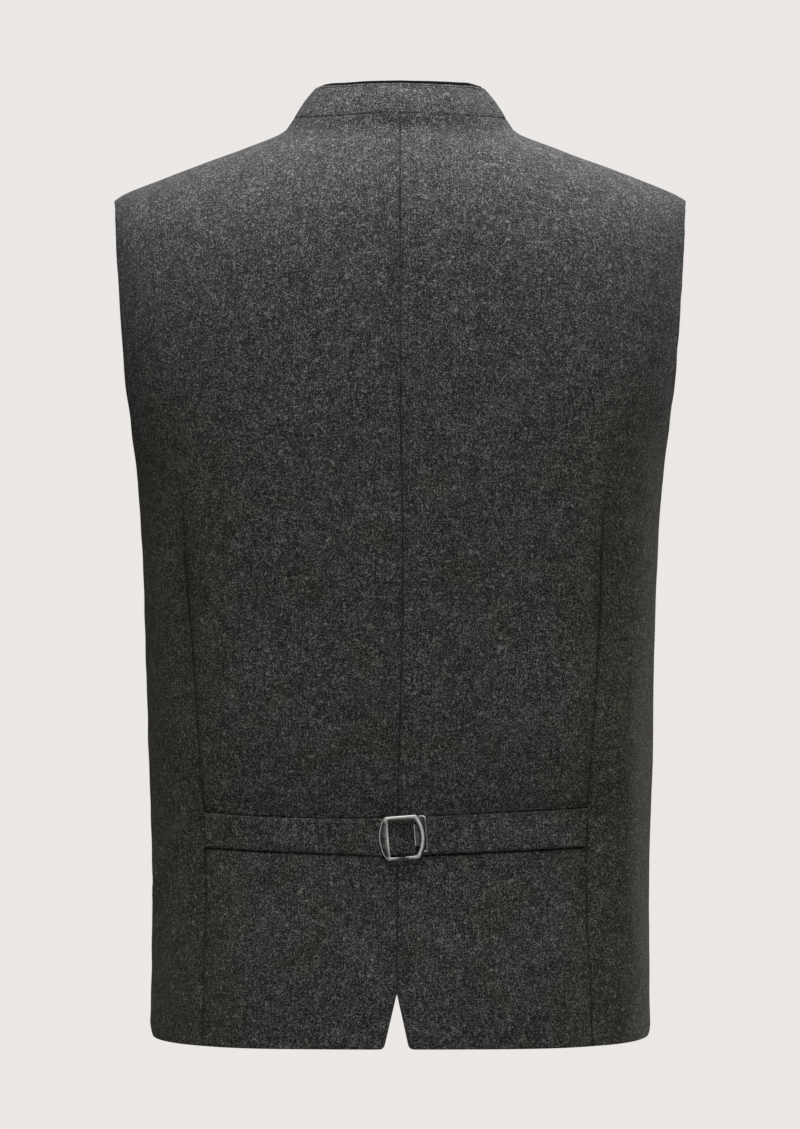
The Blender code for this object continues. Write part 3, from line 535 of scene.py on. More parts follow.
UPPER_ROWS = (np.arange(1, UPPER_COUNT) / UPPER_COUNT) ** UPPER_PACKING
UPPER_ROWS = np.concatenate([UPPER_ROWS * (1 - SHOULDER_EDGE[0]), 1 - SHOULDER_EDGE])


def even_columns(width, count):
    """Parts 0 to 1 across a panel: edge steps, even steps, and edge steps again."""
    edge = EDGE_STEPS / width
    return np.concatenate([edge, np.linspace(edge[-1], 1 - edge[-1], count + 2)[1:-1], 1 - edge[::-1]])


def neck_columns(half, inner_edge, outer_edge):
    """Parts and levels of a panel's top row: edge steps, points of the neck seam, points of the
    shoulder seam, edge steps."""
    start = 0 if half == "back" else -CLOSURE
    turns = turn_of_across(start + EDGE_STEPS)
    turns = np.append(turns[:-1], np.linspace(turns[-1], 1, RING_COLUMNS[half]))
    share, level = neck_ring(turns, half)
    inner, outer = inner_edge(level), outer_edge(level)
    neck = (share - inner) / (outer - inner)
    neck[0] = 0
    edge = EDGE_STEPS[::-1] / ROW_LENGTH["shoulder"]
    shoulder = np.linspace(neck[-1], 1 - edge[0], SHOULDER_COLUMNS + 1)[1:-1]
    parts = np.concatenate([neck, shoulder, 1 - edge])
    return parts, np.append(level, np.full(len(parts) - len(level), RIDGE))


def row_levels(hem, chest, top=None):
    """Levels of a grid, rows by columns. The lower rows follow the hem at the foot and the chest line
    at the top. The upper rows fan out to the top edge. Without a top edge the panel ends at its chest
    line, and its last rows are packed."""
    rows = LOWER_ROWS[:, None]
    if top is None:
        rows = LOWER_ROWS[LOWER_ROWS < CHEST_ROW - 0.006]
        rows = np.append(rows, CHEST_ROW - EDGE_STEPS[::-1])[:, None]
    near_hem = 1 - ramp(rows, HEM, STRAP_BAND[0])
    near_chest = ramp(rows, STRAP_BAND[1], CHEST_ROW)
    lower = rows + near_hem * (hem - HEM) + near_chest * (chest - CHEST_ROW)
    if top is None:
        return lower
    return np.concatenate([lower, chest + UPPER_ROWS[:, None] * (top - chest)])


def walked(points, axis):
    """Length of cloth from the first line of a grid to each of its lines."""
    steps = np.linalg.norm(np.diff(points, axis=axis), axis=-1)
    zero = np.zeros_like(np.take(steps, [0], axis=axis))
    return np.concatenate([zero, np.cumsum(steps, axis=axis)], axis=axis)


def outer_back(level, side):
    """Outer edge of a back panel: the side back seam, and above it the armhole."""
    return np.where(level < SEAM_TOP, side_back_share(level, side), armhole_share(level, "back"))


def gathered(parts, top_parts, levels, inner, outer):
    """Shares and levels of a grid whose columns gather to those of the top row above the chest."""
    gather = np.append(0 * LOWER_ROWS, ramp(UPPER_ROWS, GATHER_FROM, 1))[:, None]
    parts = parts + gather * (top_parts - parts)
    return inner(levels) + parts * (outer(levels) - inner(levels)), levels


def back_shares(side):
    """Shares and levels of a centre back panel's grid."""
    def inner(level):
        return centre_back_share(level, side)

    def outer(level):
        return outer_back(level, side)
    top_parts, top = neck_columns("back", inner, outer)
    parts = even_columns(ROW_LENGTH["back"], len(top_parts) - 2 * len(EDGE_STEPS))
    chest = CHEST_ROW + (SEAM_TOP - CHEST_ROW) * parts
    return gathered(parts, top_parts, row_levels(HEM, chest, top), inner, outer)


def side_back_shares(side):
    """Shares and levels of a side back panel's grid. Its top row is the foot of the armhole."""
    parts = even_columns(ROW_LENGTH["side_back"], SIDE_COLUMNS)
    climb = np.linspace(UNDERARM, SEAM_TOP, 800)
    inner = side_back_share(climb, side)
    armhole = (armhole_share(climb, "back") - inner) / (1 - inner)
    chest = np.interp(-parts, -armhole, climb)
    levels = row_levels(HEM, chest)
    inner = side_back_share(levels, side)
    return inner + parts * (1 - inner), levels


def front_shares():
    """Shares and levels of a front's grid, with its cut-away hem. Both fronts have the same."""
    def outer(level):
        return armhole_share(level, "front")
    top_parts, top = neck_columns("front", front_edge_share, outer)
    parts = even_columns(ROW_LENGTH["front"], len(top_parts) - 2 * len(EDGE_STEPS))
    chest = CHEST_ROW + (UNDERARM - CHEST_ROW) * parts
    hem = HEM + CUTAWAY * (1 - ramp(parts, 0, CUTAWAY_PART)) ** 2
    return gathered(parts, top_parts, row_levels(hem, chest, top), front_edge_share, outer)


for name, (share, level) in (("back", back_shares("left")), ("side back", side_back_shares("left")),
                             ("front", front_shares())):
    print(name, "grid", share.shape, f"levels {level.min():.4f} to {level.max():.4f}")

# %% [markdown]
# ## The wool
#
# The cloth is a fulled melange wool: dark and light fibres are mixed before spinning, so it looks like
# fine pepper and salt, with cloudy patches and faint lines along and across the weave. One node group
# makes this from noise at several sizes. It puts out a colour and a height, and is used again with
# other values for the dark facing and the backing. Its colour also carries painted shade along the
# seams and on the lower sides.


# %% Node helpers
def new_group(name, inputs, outputs):
    """An empty shader node group with named sockets. Inputs are (name, type, value)."""
    group = bpy.data.node_groups.new(name, "ShaderNodeTree")
    for socket_name, kind, value in inputs:
        socket = group.interface.new_socket(socket_name, in_out="INPUT", socket_type=kind)
        if value is not None:
            socket.default_value = value
    for socket_name, kind in outputs:
        group.interface.new_socket(socket_name, in_out="OUTPUT", socket_type=kind)
    return group, group.nodes.new("NodeGroupInput"), group.nodes.new("NodeGroupOutput")


def noise(tree, place, scale, detail, roughness=0.6):
    """A noise texture of this scale, in waves per metre."""
    node = tree.nodes.new("ShaderNodeTexNoise")
    node.inputs["Scale"].default_value = scale
    node.inputs["Detail"].default_value = detail
    node.inputs["Roughness"].default_value = roughness
    tree.links.new(place, node.inputs["Vector"])
    return node.outputs["Fac"]


def maths(tree, operation, first, second=None, third=None, clamp=False):
    """A Math node. Arguments are sockets or numbers. clamp keeps its result from 0 to 1."""
    node = tree.nodes.new("ShaderNodeMath")
    node.operation = operation
    node.use_clamp = clamp
    for socket, value in zip(node.inputs, (first, second, third)):
        if value is None:
            continue
        if isinstance(value, (int, float)):
            socket.default_value = value
        else:
            tree.links.new(value, socket)
    return node.outputs[0]


def stretched(tree, place, scale):
    """The place multiplied by three numbers, to stretch a pattern."""
    node = tree.nodes.new("ShaderNodeMapping")
    node.inputs["Scale"].default_value = scale
    tree.links.new(place, node.inputs["Vector"])
    return node.outputs["Vector"]

# %% The melange group
# Colour sockets of a Mix node come in several kinds, so its RGBA ones are picked by their place.
RGBA_FACTOR, RGBA_A, RGBA_B, RGBA_RESULT = 0, 6, 7, 2


def mixed(tree, part, first, second):
    """Colour between two colours, by a part of 0 to 1."""
    node = tree.nodes.new("ShaderNodeMix")
    node.data_type = "RGBA"
    for place, value in ((RGBA_FACTOR, part), (RGBA_A, first), (RGBA_B, second)):
        if isinstance(value, bpy.types.NodeSocket):
            tree.links.new(value, node.inputs[place])
        else:
            node.inputs[place].default_value = value
    return node.outputs[RGBA_RESULT]


TONE_MIDDLE = 0.22       # tone of the cloth before its noise: low, so that light fibres are the rarer
NOISES = (
    # kind, waves per metre, detail, roughness, weight in the tone
    ("fleck", 1100, 3, 0.75, 1.0),
    ("fibre", 2300, 1, 0.5, 0.6),
)
STREAKS = (
    # along and across the weave: waves per metre each way, weight in the tone
    ((1100, 45, 1), 0.16),
    ((60, 1000, 1), 0.11),
)
CLOUD_SIZE, CLOUD_WEIGHT, PATCH_SIZE = 110, 0.45, 26
HAIRS = ((230, 330), (310, 410))         # waves per metre of the lines, and of the breaks in them
# The olive tint is darker than the cloth; on the lower sides that darkening is painted shade.
OLIVE, PATCH_OLIVE, SIDE_OLIVE = (0.84, 0.87, 0.62, 1), 0.5, 0.8
# how far the painted shade along the seams darkens the colour
PRESSED_DARK = 0.75


def make_melange():
    """Noise at several sizes: flecks, fibres, clouds, and streaks along and across the weave. Their sum
    picks a colour between dark, middle and light fibres, and is the height of the nap as well. Light
    hairs lie where another noise is close to its middle, in short pieces. The lower sides are a little
    olive, and darker as painted shade; painted shade also darkens the cloth along the seams."""
    group, given, result = new_group(
        "melange_cloth",
        [("Place", "NodeSocketVector", None), ("Weave Place", "NodeSocketVector", None),
         ("Dark", "NodeSocketColor", None), ("Middle", "NodeSocketColor", None),
         ("Light", "NodeSocketColor", None), ("Fleck Contrast", "NodeSocketFloat", 1.0),
         ("Cloud Contrast", "NodeSocketFloat", 1.0), ("Hair", "NodeSocketFloat", 0.0),
         ("Tint", "NodeSocketFloat", 0.0), ("Pressed", "NodeSocketFloat", 0.0)],
        [("Color", "NodeSocketColor"), ("Height", "NodeSocketFloat")])
    place, weave = given.outputs["Place"], given.outputs["Weave Place"]
    values = [(noise(group, place, size, detail, rough), weight)
              for _, size, detail, rough, weight in NOISES]
    values += [(noise(group, stretched(group, weave, scale), 1, 2), weight)
               for scale, weight in STREAKS]
    tone = 0.0
    for value, weight in values:
        tone = maths(group, "MULTIPLY_ADD", maths(group, "SUBTRACT", value, 0.5), weight, tone)
    tone = maths(group, "MULTIPLY", tone, given.outputs["Fleck Contrast"])
    clouds = maths(group, "SUBTRACT", noise(group, place, CLOUD_SIZE, 3, 0.65), 0.5)
    clouds = maths(group, "MULTIPLY", clouds, given.outputs["Cloud Contrast"])
    tone = maths(group, "MULTIPLY_ADD", clouds, CLOUD_WEIGHT, tone)
    tone = maths(group, "ADD", tone, TONE_MIDDLE)
    low = maths(group, "MULTIPLY", tone, 2.0, clamp=True)
    high = maths(group, "MULTIPLY_ADD", tone, 2.0, -1.0, clamp=True)
    colour = mixed(group, low, given.outputs["Dark"], given.outputs["Middle"])
    colour = mixed(group, high, colour, given.outputs["Light"])
    for lines, breaks in HAIRS:
        line = maths(group, "ABSOLUTE", maths(group, "SUBTRACT", noise(group, place, lines, 1), 0.5))
        line = maths(group, "MULTIPLY_ADD", line, -30.0, 1.0, clamp=True)
        part = maths(group, "MULTIPLY_ADD", noise(group, place, breaks, 0), 10.0, -5.9, clamp=True)
        hair = maths(group, "MULTIPLY", maths(group, "MULTIPLY", line, part), given.outputs["Hair"])
        colour = mixed(group, hair, colour, given.outputs["Light"])
    patch = maths(group, "MULTIPLY_ADD", noise(group, place, PATCH_SIZE, 2), 4.0, -1.7, clamp=True)
    parts = group.nodes.new("ShaderNodeSeparateXYZ")
    group.links.new(place, parts.inputs[0])
    away = maths(group, "ABSOLUTE", parts.outputs["X"])
    to_side = maths(group, "MULTIPLY_ADD", away, 18.0, -1.75, clamp=True)
    lower = maths(group, "MULTIPLY_ADD", parts.outputs["Z"], -7.0, -1.0, clamp=True)
    # Patches and the lower sides turn olive; on the sides the darker tint is painted shade.
    olive = maths(group, "MULTIPLY_ADD", patch, PATCH_OLIVE,
                  maths(group, "MULTIPLY", to_side, SIDE_OLIVE))
    olive = maths(group, "MULTIPLY", maths(group, "MULTIPLY", olive, lower), given.outputs["Tint"])
    tint = mixed(group, olive, (1, 1, 1, 1), OLIVE)
    colour = mixed(group, 1.0, colour, tint)
    colour.node.blend_type = "MULTIPLY"
    # Painted shade darkens the colour along the seams.
    pressed = maths(group, "MULTIPLY", given.outputs["Pressed"], PRESSED_DARK)
    colour = mixed(group, pressed, colour, (0, 0, 0, 1))
    group.links.new(colour, result.inputs["Color"])
    group.links.new(tone, result.inputs["Height"])
    return group


melange = make_melange()
print("melange group:", len(melange.nodes), "nodes")

# %% [markdown]
# ## Cloth materials
#
# The group only works out values. The Principled shader stays in the material, with a high roughness,
# because wool has no gloss, and a bump so small that it only breaks the light like a nap does.


# %% A material from a node group
def group_material(name, node_group, values, coordinates, attribute, bump_height, outputs):
    """A Principled material and its shader. The group gets values and coordinates, and the number of
    the points that an attribute holds. Its Height makes a bump, and its outputs go to the shader."""
    made = bpy.data.materials.new(name)
    made.use_nodes = True
    tree = made.node_tree
    shader = tree.nodes["Principled BSDF"]
    group = tree.nodes.new("ShaderNodeGroup")
    group.node_tree = node_group
    where = tree.nodes.new("ShaderNodeTexCoord")
    for socket, source in coordinates.items():
        tree.links.new(where.outputs[source], group.inputs[socket])
    for socket, value in values.items():
        group.inputs[socket].default_value = value
    mark = tree.nodes.new("ShaderNodeAttribute")
    mark.attribute_name = attribute.lower()
    tree.links.new(mark.outputs["Fac"], group.inputs[attribute])
    relief = tree.nodes.new("ShaderNodeBump")
    relief.inputs["Distance"].default_value = bump_height
    relief.inputs["Strength"].default_value = 1.0
    tree.links.new(group.outputs["Height"], relief.inputs["Height"])
    tree.links.new(relief.outputs["Normal"], shader.inputs["Normal"])
    for output, socket in outputs.items():
        tree.links.new(group.outputs[output], shader.inputs[socket])
    return made, shader


# %% Wool, facing and backing
def grey(value):
    """A neutral colour."""
    return value, value, value


def cloth_material(name, dark, middle, light, fleck, cloud, bump_height, hair=0.0, tint=0.0, sheen=0.0):
    """A matte cloth material with the melange group."""
    made, shader = group_material(
        name, melange,
        {"Dark": (*dark, 1), "Middle": (*middle, 1), "Light": (*light, 1), "Fleck Contrast": fleck,
         "Cloud Contrast": cloud, "Hair": hair, "Tint": tint},
        {"Place": "Object", "Weave Place": "UV"}, "Pressed", bump_height, {"Color": "Base Color"})
    for socket, value in (("Roughness", 0.92), ("Specular IOR Level", 0.18), ("Sheen Weight", sheen),
                          ("Sheen Roughness", 0.6)):
        shader.inputs[socket].default_value = value
    return made


WOOL = cloth_material("charcoal_wool", grey(0.008), grey(0.028), grey(0.320), fleck=5.2, cloud=1.8,
                      bump_height=0.00025, hair=1.0, tint=1.0, sheen=0.08)
FACING = cloth_material("dark_facing_cloth", grey(0.003), grey(0.006), grey(0.012), fleck=0.8,
                        cloud=0.4, bump_height=0.00006)
BACKING = cloth_material("dark_backing_cloth", grey(0.014), grey(0.024), (0.038, 0.037, 0.037),
                         fleck=0.5, cloud=0.5, bump_height=0.00005)
print("cloth materials:", WOOL.name, FACING.name, BACKING.name)

# %% [markdown]
# ## Walls of cloth
#
# A panel is a wall of cloth: an outer skin, an inner skin and a rim. At a seam the cloth turns in, so
# the outer skin dips a little and leaves the fine dark line that a seam shows; painted shade darkens
# the colour in that line and softly beside it. At an open edge, such as the hem or an armhole, the cloth
# is folded under, so both skins round off to a soft edge. Rows of the grid run along each edge, and the
# length of cloth to the edge drives all of these shapes.


# %% Build a mesh
def make_piece(name, vertices, faces, materials, uv=None, material_index=None, values=None):
    """An object from arrays of points and faces, with its place in its mesh. values are named numbers
    of its points, for its material."""
    mesh = bpy.data.meshes.new(name)
    mesh.from_pydata(np.asarray(vertices).reshape(-1, 3).tolist(), [], faces)
    for finish in materials:
        mesh.materials.append(finish)
    if material_index is not None:
        mesh.polygons.foreach_set("material_index", np.asarray(material_index, dtype=np.int32))
    if uv is not None:
        corners = np.empty(len(mesh.loops), dtype=np.int32)
        mesh.loops.foreach_get("vertex_index", corners)
        layer = mesh.uv_layers.new(name="cloth")
        layer.data.foreach_set("uv", np.asarray(uv).reshape(-1, 2)[corners].astype(np.float32).ravel())
    for value_name, value in (values or {}).items():
        layer = mesh.attributes.new(value_name, "FLOAT", "POINT")
        layer.data.foreach_set("value", np.ravel(value).astype(np.float32))
    mesh.update()
    mesh.shade_smooth()
    piece = bpy.data.objects.new(name, mesh)
    bpy.context.collection.objects.link(piece)
    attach(piece, "root")
    return piece


def wall_faces(rows, columns, flip):
    """Faces of a wall between two grids: outer skin, inner skin and rim, all pointing outwards."""
    number = np.arange(rows * columns).reshape(rows, columns)
    skin = np.stack([number[:-1, :-1], number[:-1, 1:], number[1:, 1:], number[1:, :-1]], -1)
    skin = skin.reshape(-1, 4)
    border = np.concatenate([number[0, :-1], number[:-1, -1], number[-1, :0:-1], number[:0:-1, 0]])
    ahead = np.roll(border, -1)
    under = rows * columns
    rim = np.stack([ahead, border, border + under, ahead + under], -1)
    faces = np.concatenate([skin, skin[:, ::-1] + under, rim])
    return faces[:, ::-1] if flip else faces


def edge_roll(distance, radius):
    """1 at an edge, falling to 0 at one radius from it, along a quarter circle."""
    inward = 1 - np.clip(distance / radius, 0, 1)
    return 1 - np.sqrt(1 - inward ** 2)


SEAM_ROLL, SEAM_DIP = 0.0015, 0.0006         # how the cloth turns in at a seam
SEAM_NOTCH, NOTCH_WIDTH = 0.0012, 0.00035    # the stitches pull a narrow notch into it
NECK_DIP = 0.12                              # depth of the neck seam, as a part of the others
SEAM_LAP = 0.0001                            # each side reaches this far past the seam, so it is closed
TURNING = 0.0085                             # wool folded under along an open edge
CURL_RADIUS = 0.0034
SEAM_SHADE = (0.2, 0.03)                     # painted shade of most seams: in the line, and softly beside it
SHADE_LINE, SHADE_NEAR, SHADE_FAR = 0.0011, 0.005, 0.012
# Small shapes beside an edge. Each has a height, then its distance from the edge and its width.
NECK_PUFF, NECK_PUFF_AT = 0.0004, (0.0040, 0.0028)       # a soft roll below the neck seam
ALLOWANCE, ALLOWANCE_AT = 0.00012, (0.0060, 0.0035)      # the ridge over the cloth turned in at a seam
EDGE_STITCH, EDGE_STITCH_AT, BESIDE_STITCH_AT = 0.00016, (0.0062, 0.0009), (0.0040, 0.0018)
PUCKER, PUCKER_WAVES, PUCKER_REACH = 0.00010, (560, 131), 0.005      # small waves along a seam


def cell_areas(points):
    """Areas of a grid's cells: half the cross product of their diagonals."""
    first = points[1:, 1:] - points[:-1, :-1]
    second = points[1:, :-1] - points[:-1, 1:]
    return np.linalg.norm(np.cross(first, second), axis=-1) / 2


def cloth_wall(name, share, level, half, edges, seam_depth=None, seam_shade=None, curl=0.0):
    """The shell of one panel. edges gives, for "inner", "outer", "bottom" and "top", how open the edge
    is along it, from 0 for a seam to 1 for an open edge. seam_depth makes the seam of an edge
    shallower. seam_shade says how much painted shade darkens the cloth in the seam's line and softly
    beside it. curl rolls an open inner edge in. Returns the piece, its flat size and its area."""
    points = surface(share, level, half)
    side = 1 if share.mean() > 0 else -1
    if name.endswith("front_right"):
        tucked = 1 - ramp(-points[..., 0], CLOSURE + TUCK_REACH[0], CLOSURE + TUCK_REACH[1])
        points = points - surface_normals(share, level, half) * (TUCK * tucked)[..., None]
    across, up = walked(points, 1), walked(points, 0)
    far = {"inner": across, "outer": across[:, -1:] - across, "bottom": up, "top": up[-1:] - up}
    area = cell_areas(points).sum()
    flat = (float(across[:, -1].max()), float(up[-1].max()))

    along_rows = unit(np.gradient(points, axis=1))
    along_columns = unit(np.gradient(points, axis=0))
    out = unit(np.cross(along_columns, along_rows))
    out = out * np.sign((out * surface_normals(share, level, half)).sum(-1).mean())
    heading = {"inner": along_rows, "outer": -along_rows,
               "bottom": along_columns, "top": -along_columns}

    drop, rise, shift, both, pressed = 0.0, 0.0, 0.0, 0.0, 0.0
    for edge, open_part in edges.items():
        distance = far[edge]
        seam_part = 1 - open_part
        at_neck = np.abs(points[-1, :, 0]) < NECK_HALF
        # Painted shade: the colour is darkened in the seam's line and softly beside it.
        line, soft = (seam_shade or {}).get(edge, SEAM_SHADE)
        beside = 0.7 * bump(distance, 0, SHADE_NEAR) + 0.3 * bump(distance, 0, SHADE_FAR)
        pressed = pressed + seam_part * (line * bump(distance, 0, SHADE_LINE) + soft * beside)
        depth = np.where(at_neck & (edge == "top"), NECK_DIP, (seam_depth or {}).get(edge, 1.0))
        turned = SEAM_DIP * edge_roll(distance, SEAM_ROLL) + SEAM_NOTCH * bump(distance, 0, NOTCH_WIDTH)
        folded = open_part * WALL / 2 * edge_roll(distance, WALL / 2)
        drop = np.maximum(drop, folded + seam_part * depth * turned)
        rise = np.maximum(rise, folded)
        if edge == "top":
            drop = drop - at_neck * seam_part * NECK_PUFF * bump(distance, *NECK_PUFF_AT)
        if edge == "inner":
            both = both + open_part * curl * edge_roll(distance, CURL_RADIUS)
        closeness = np.clip(1 - distance / EDGE_STEPS[-1], 0, 1) * seam_part
        shift = shift - heading[edge] * (SEAM_LAP * closeness)[..., None]
        run = up if edge in ("inner", "outer") else across
        pucker = np.cos(run * PUCKER_WAVES[0] + 2.0 * np.sin(run * PUCKER_WAVES[1]))
        pucker = pucker * np.exp(-distance / PUCKER_REACH)
        drop = drop + seam_part * depth * PUCKER * pucker
        stitched = bump(distance, *EDGE_STITCH_AT) - 0.7 * bump(distance, *BESIDE_STITCH_AT)
        drop = drop + open_part * EDGE_STITCH * stitched
        drop = drop - seam_part * depth * ALLOWANCE * bump(distance, *ALLOWANCE_AT)
    outer = points + shift - out * (drop + both)[..., None]
    inner = points + shift - out * (WALL - rise + both)[..., None]

    rows, columns = share.shape
    mesh_faces = wall_faces(rows, columns, flip=(side > 0) == (half == "back"))
    to_open = np.full(share.shape, 1.0)
    for edge, open_part in edges.items():
        to_open = np.minimum(to_open, np.where(open_part > 0.5, far[edge], 1.0))
    backed = to_open[:-1, :-1].ravel() > TURNING
    index = np.zeros(len(mesh_faces), dtype=np.int32)
    index[len(backed):2 * len(backed)] = backed
    uv = np.stack([across + share[:, :1] * QUARTER_GIRTH, up], -1)
    piece = make_piece(name, np.stack([outer, inner]), mesh_faces.tolist(), [WOOL, BACKING],
                       np.stack([uv, uv]), index, {"pressed": np.stack([pressed, 0 * pressed])})
    return piece, flat, float(area)

# %% [markdown]
# ## The six panels
#
# Each panel replaces its CAD solid.

# %% Backs, side backs and fronts
SEWN, OPEN = 0.0, 1.0
BACK_CURL = {"left": 0.0004, "right": 0.0016}        # how far the vent's two corners curl in
DIP_LOST, DIP_FADES = 0.85, (-0.32, -0.26)           # the side back seam is flatter near the armhole
SIDE_SHADE, SHADE_FADES = (0.50, 0.08, 0.37), (-0.29, -0.23)     # painted shade in its line, beside it, and more
MORE_SHADE_AT = (-0.345, 0.065)                      # level and width of the darker stretch


def open_above(level, start):
    """0 below a level and 1 above it."""
    return ramp(level, start - 0.001, start + 0.001)


def side_seam_depth(level):
    """The side back seam's dip nearly fades out towards the armhole."""
    return 1 - DIP_LOST * ramp(level, *DIP_FADES)


def side_seam_shade(level):
    """The painted shade of the side back seam is darkest in its upper part and fades out below the
    armhole.
    """
    fade = 1 - ramp(level, *SHADE_FADES)
    line, beside, more = SIDE_SHADE
    return line * fade, (beside + more * bump(level, *MORE_SHADE_AT)) * fade


panels = {}
for side, sign in (("left", 1), ("right", -1)):
    share, level = back_shares(side)
    panels["back_" + side] = cloth_wall(
        "wool_back_" + side, sign * share, level, "back",
        {"inner": 1 - open_above(level, VENT_APEX), "outer": open_above(level, SEAM_TOP),
         "bottom": OPEN, "top": SEWN},
        {"outer": side_seam_depth(level)},
        {"outer": side_seam_shade(level), "inner": (0.36, 0.06), "top": (0.0, 0.0)}, BACK_CURL[side])
    share, level = side_back_shares(side)
    panels["side_back_" + side] = cloth_wall(
        "wool_side_back_" + side, sign * share, level, "back",
        {"inner": SEWN, "outer": SEWN, "bottom": OPEN, "top": OPEN},
        {"inner": side_seam_depth(level)}, {"inner": side_seam_shade(level)})
    share, level = front_shares()
    panels["front_" + side] = cloth_wall(
        "wool_front_" + side, sign * share, level, "front",
        {"inner": OPEN, "outer": open_above(level, UNDERARM), "bottom": OPEN, "top": SEWN})

for node, (piece, flat, area) in panels.items():
    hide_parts(node)

# %% [markdown]
# ## Collar
#
# The stand collar is one strip of wool that climbs from the neck seam and leans in towards the neck.
# Its inside is faced with a dark cloth that stands slightly above the wool, and so shows as a thin dark
# line along the top. Both are a closed profile, carried round the neck seam.

# %% Collar strips
COLLAR_HEIGHT, COLLAR_CORNER, COLLAR_LIFT = 0.0314, 0.006, 0.0002
BACK_LEAN, FRONT_LEAN, LEAN_BEND = math.radians(36), math.radians(20), math.radians(9)
FACING_WALL, FACING_FOOT = 0.0014, 0.0018
COLLAR_ROWS = 40         # points up each face of a strip
COLLAR_START = 0.025     # turn of the neck seam at the collar's two front ends
EDGE_SHOWING = 0.0030    # the dark facing rolls over the wool's top edge and shows this much
SIDE_DROP = 0.0030       # the collar is lower at the sides of the neck
STITCH_DEPTH = 0.0056    # row of stitches below the top of the facing
FRONT_POINTS, BACK_POINTS = 90, 70       # of the neck seam, on each side
FOOT_ROUND = 0.0004      # how far a strip's foot is cut off at its corners
FOOT_STEPS = np.array([0, 0.0002, 0.0005, 0.0009, 0.0014])
END_ROUND = 0.004        # length of the round corners at the collar's two ends
CROWN, CROWN_REACH = 0.0012, (0.004, 0.034)      # the top dips at the centre
LEFT_CROWN, LEFT_REACH = 0.0006, (0, 0.05)       # and is higher on the left
TAPER = 0.45             # part of the showing edge that the wool covers at the sides of the neck
LOWER_SEAM = 0.0115      # height of the soft crease across the collar
SEWN_DEPTH, SWELL_HEIGHT, TURNED_IN = 0.00022, 0.00012, 0.00025
FACING_ROLL = 0.0020     # how far the top of the facing rolls out over the wool


def collar_line():
    """Points of the neck seam from the wearer's left front round the back to the right front."""
    front_share, front_level = neck_ring(np.linspace(COLLAR_START, 1, FRONT_POINTS), "front")
    back_share, back_level = neck_ring(np.linspace(1, 0, BACK_POINTS)[1:], "back")
    left, right = (np.concatenate([surface(sign * front_share, front_level, "front"),
                                   surface(sign * back_share, back_level, "back")]) for sign in (1, -1))
    return np.concatenate([left, right[-2::-1]]) + (0, 0, COLLAR_LIFT)


def strip_profile(low, high, outside, inside):
    """A closed loop of (height, shift) round a strip's section: up its outer face, over a rounded
    top and down its inner face."""
    radius = (outside - inside) / 2
    middle = (outside + inside) / 2
    foot = low + FOOT_ROUND + FOOT_STEPS
    up = np.append(foot, np.linspace(foot[-1] + 0.0006, high - radius, COLLAR_ROWS - len(FOOT_STEPS)))
    arc = np.linspace(0, math.pi, 9)[1:-1]
    height = np.concatenate([up, high - radius + radius * np.sin(arc), up[::-1], [low, low]])
    shift = np.concatenate([np.full(COLLAR_ROWS, outside), middle + radius * np.cos(arc),
                            np.full(COLLAR_ROWS, inside), [inside + FOOT_ROUND, outside - FOOT_ROUND]])
    return height, shift


def collar_points(line, height, shift):
    """Profile points on the collar: each climbs from the neck seam along a lean that grows with its
    height, and moves out along the collar's face by its shift."""
    along = np.gradient(line, axis=0)
    inward = unit(np.stack([-along[:, 1], along[:, 0], np.zeros(len(line))], -1))
    behind = ramp(line[:, 1], -NECK_FRONT * 0.8, 0)
    foot_lean = FRONT_LEAN + behind * (BACK_LEAN - FRONT_LEAN) - LEAN_BEND
    walk = walked(line, 0)
    end = np.minimum(walk, walk[-1] - walk)
    scale = 1 - COLLAR_CORNER / COLLAR_HEIGHT * np.exp(-end / END_ROUND)
    height, shift = np.broadcast_arrays(height, shift)
    across = np.abs(line[:, 0])
    at_side = ramp(across, NECK_HALF * 0.75, NECK_HALF) ** 2
    crown = CROWN * ramp(across, *CROWN_REACH) + LEFT_CROWN * ramp(line[:, 0], *LEFT_REACH)
    scale = scale * (1 + (crown - SIDE_DROP * at_side) / COLLAR_HEIGHT)
    part = height / COLLAR_HEIGHT
    lean = (foot_lean[:, None] + LEAN_BEND * part)[..., None]
    up = np.array([0, 0, 1.0])
    climb = inward[:, None] * np.sin(lean) + up * np.cos(lean)
    face = up * np.sin(lean) - inward[:, None] * np.cos(lean)
    return line[:, None] + climb * (height * scale[:, None])[..., None] + face * shift[..., None]


def tube_faces(count, around):
    """Faces of a tube of loops: its sides, and a fan over each end. The middles of the two ends are
    numbered after the points of the loops."""
    number = np.arange(count * around).reshape(count, around)
    right = np.roll(number, -1, 1)
    sides = np.stack([number[:-1], right[:-1], right[1:], number[1:]], -1).reshape(-1, 4)
    first, last = np.full(around, number.size), np.full(around, number.size + 1)
    return sides, np.concatenate([np.stack([first, right[0], number[0]], -1),
                                  np.stack([last, number[-1], right[-1]], -1)])


def points_inwards(corners):
    """Whether faces of four corners point inwards: the volume that they sweep is below zero."""
    return (corners[:, 0] * np.cross(corners[:, 1], corners[:, 2])
            + corners[:, 0] * np.cross(corners[:, 2], corners[:, 3])).sum() < 0


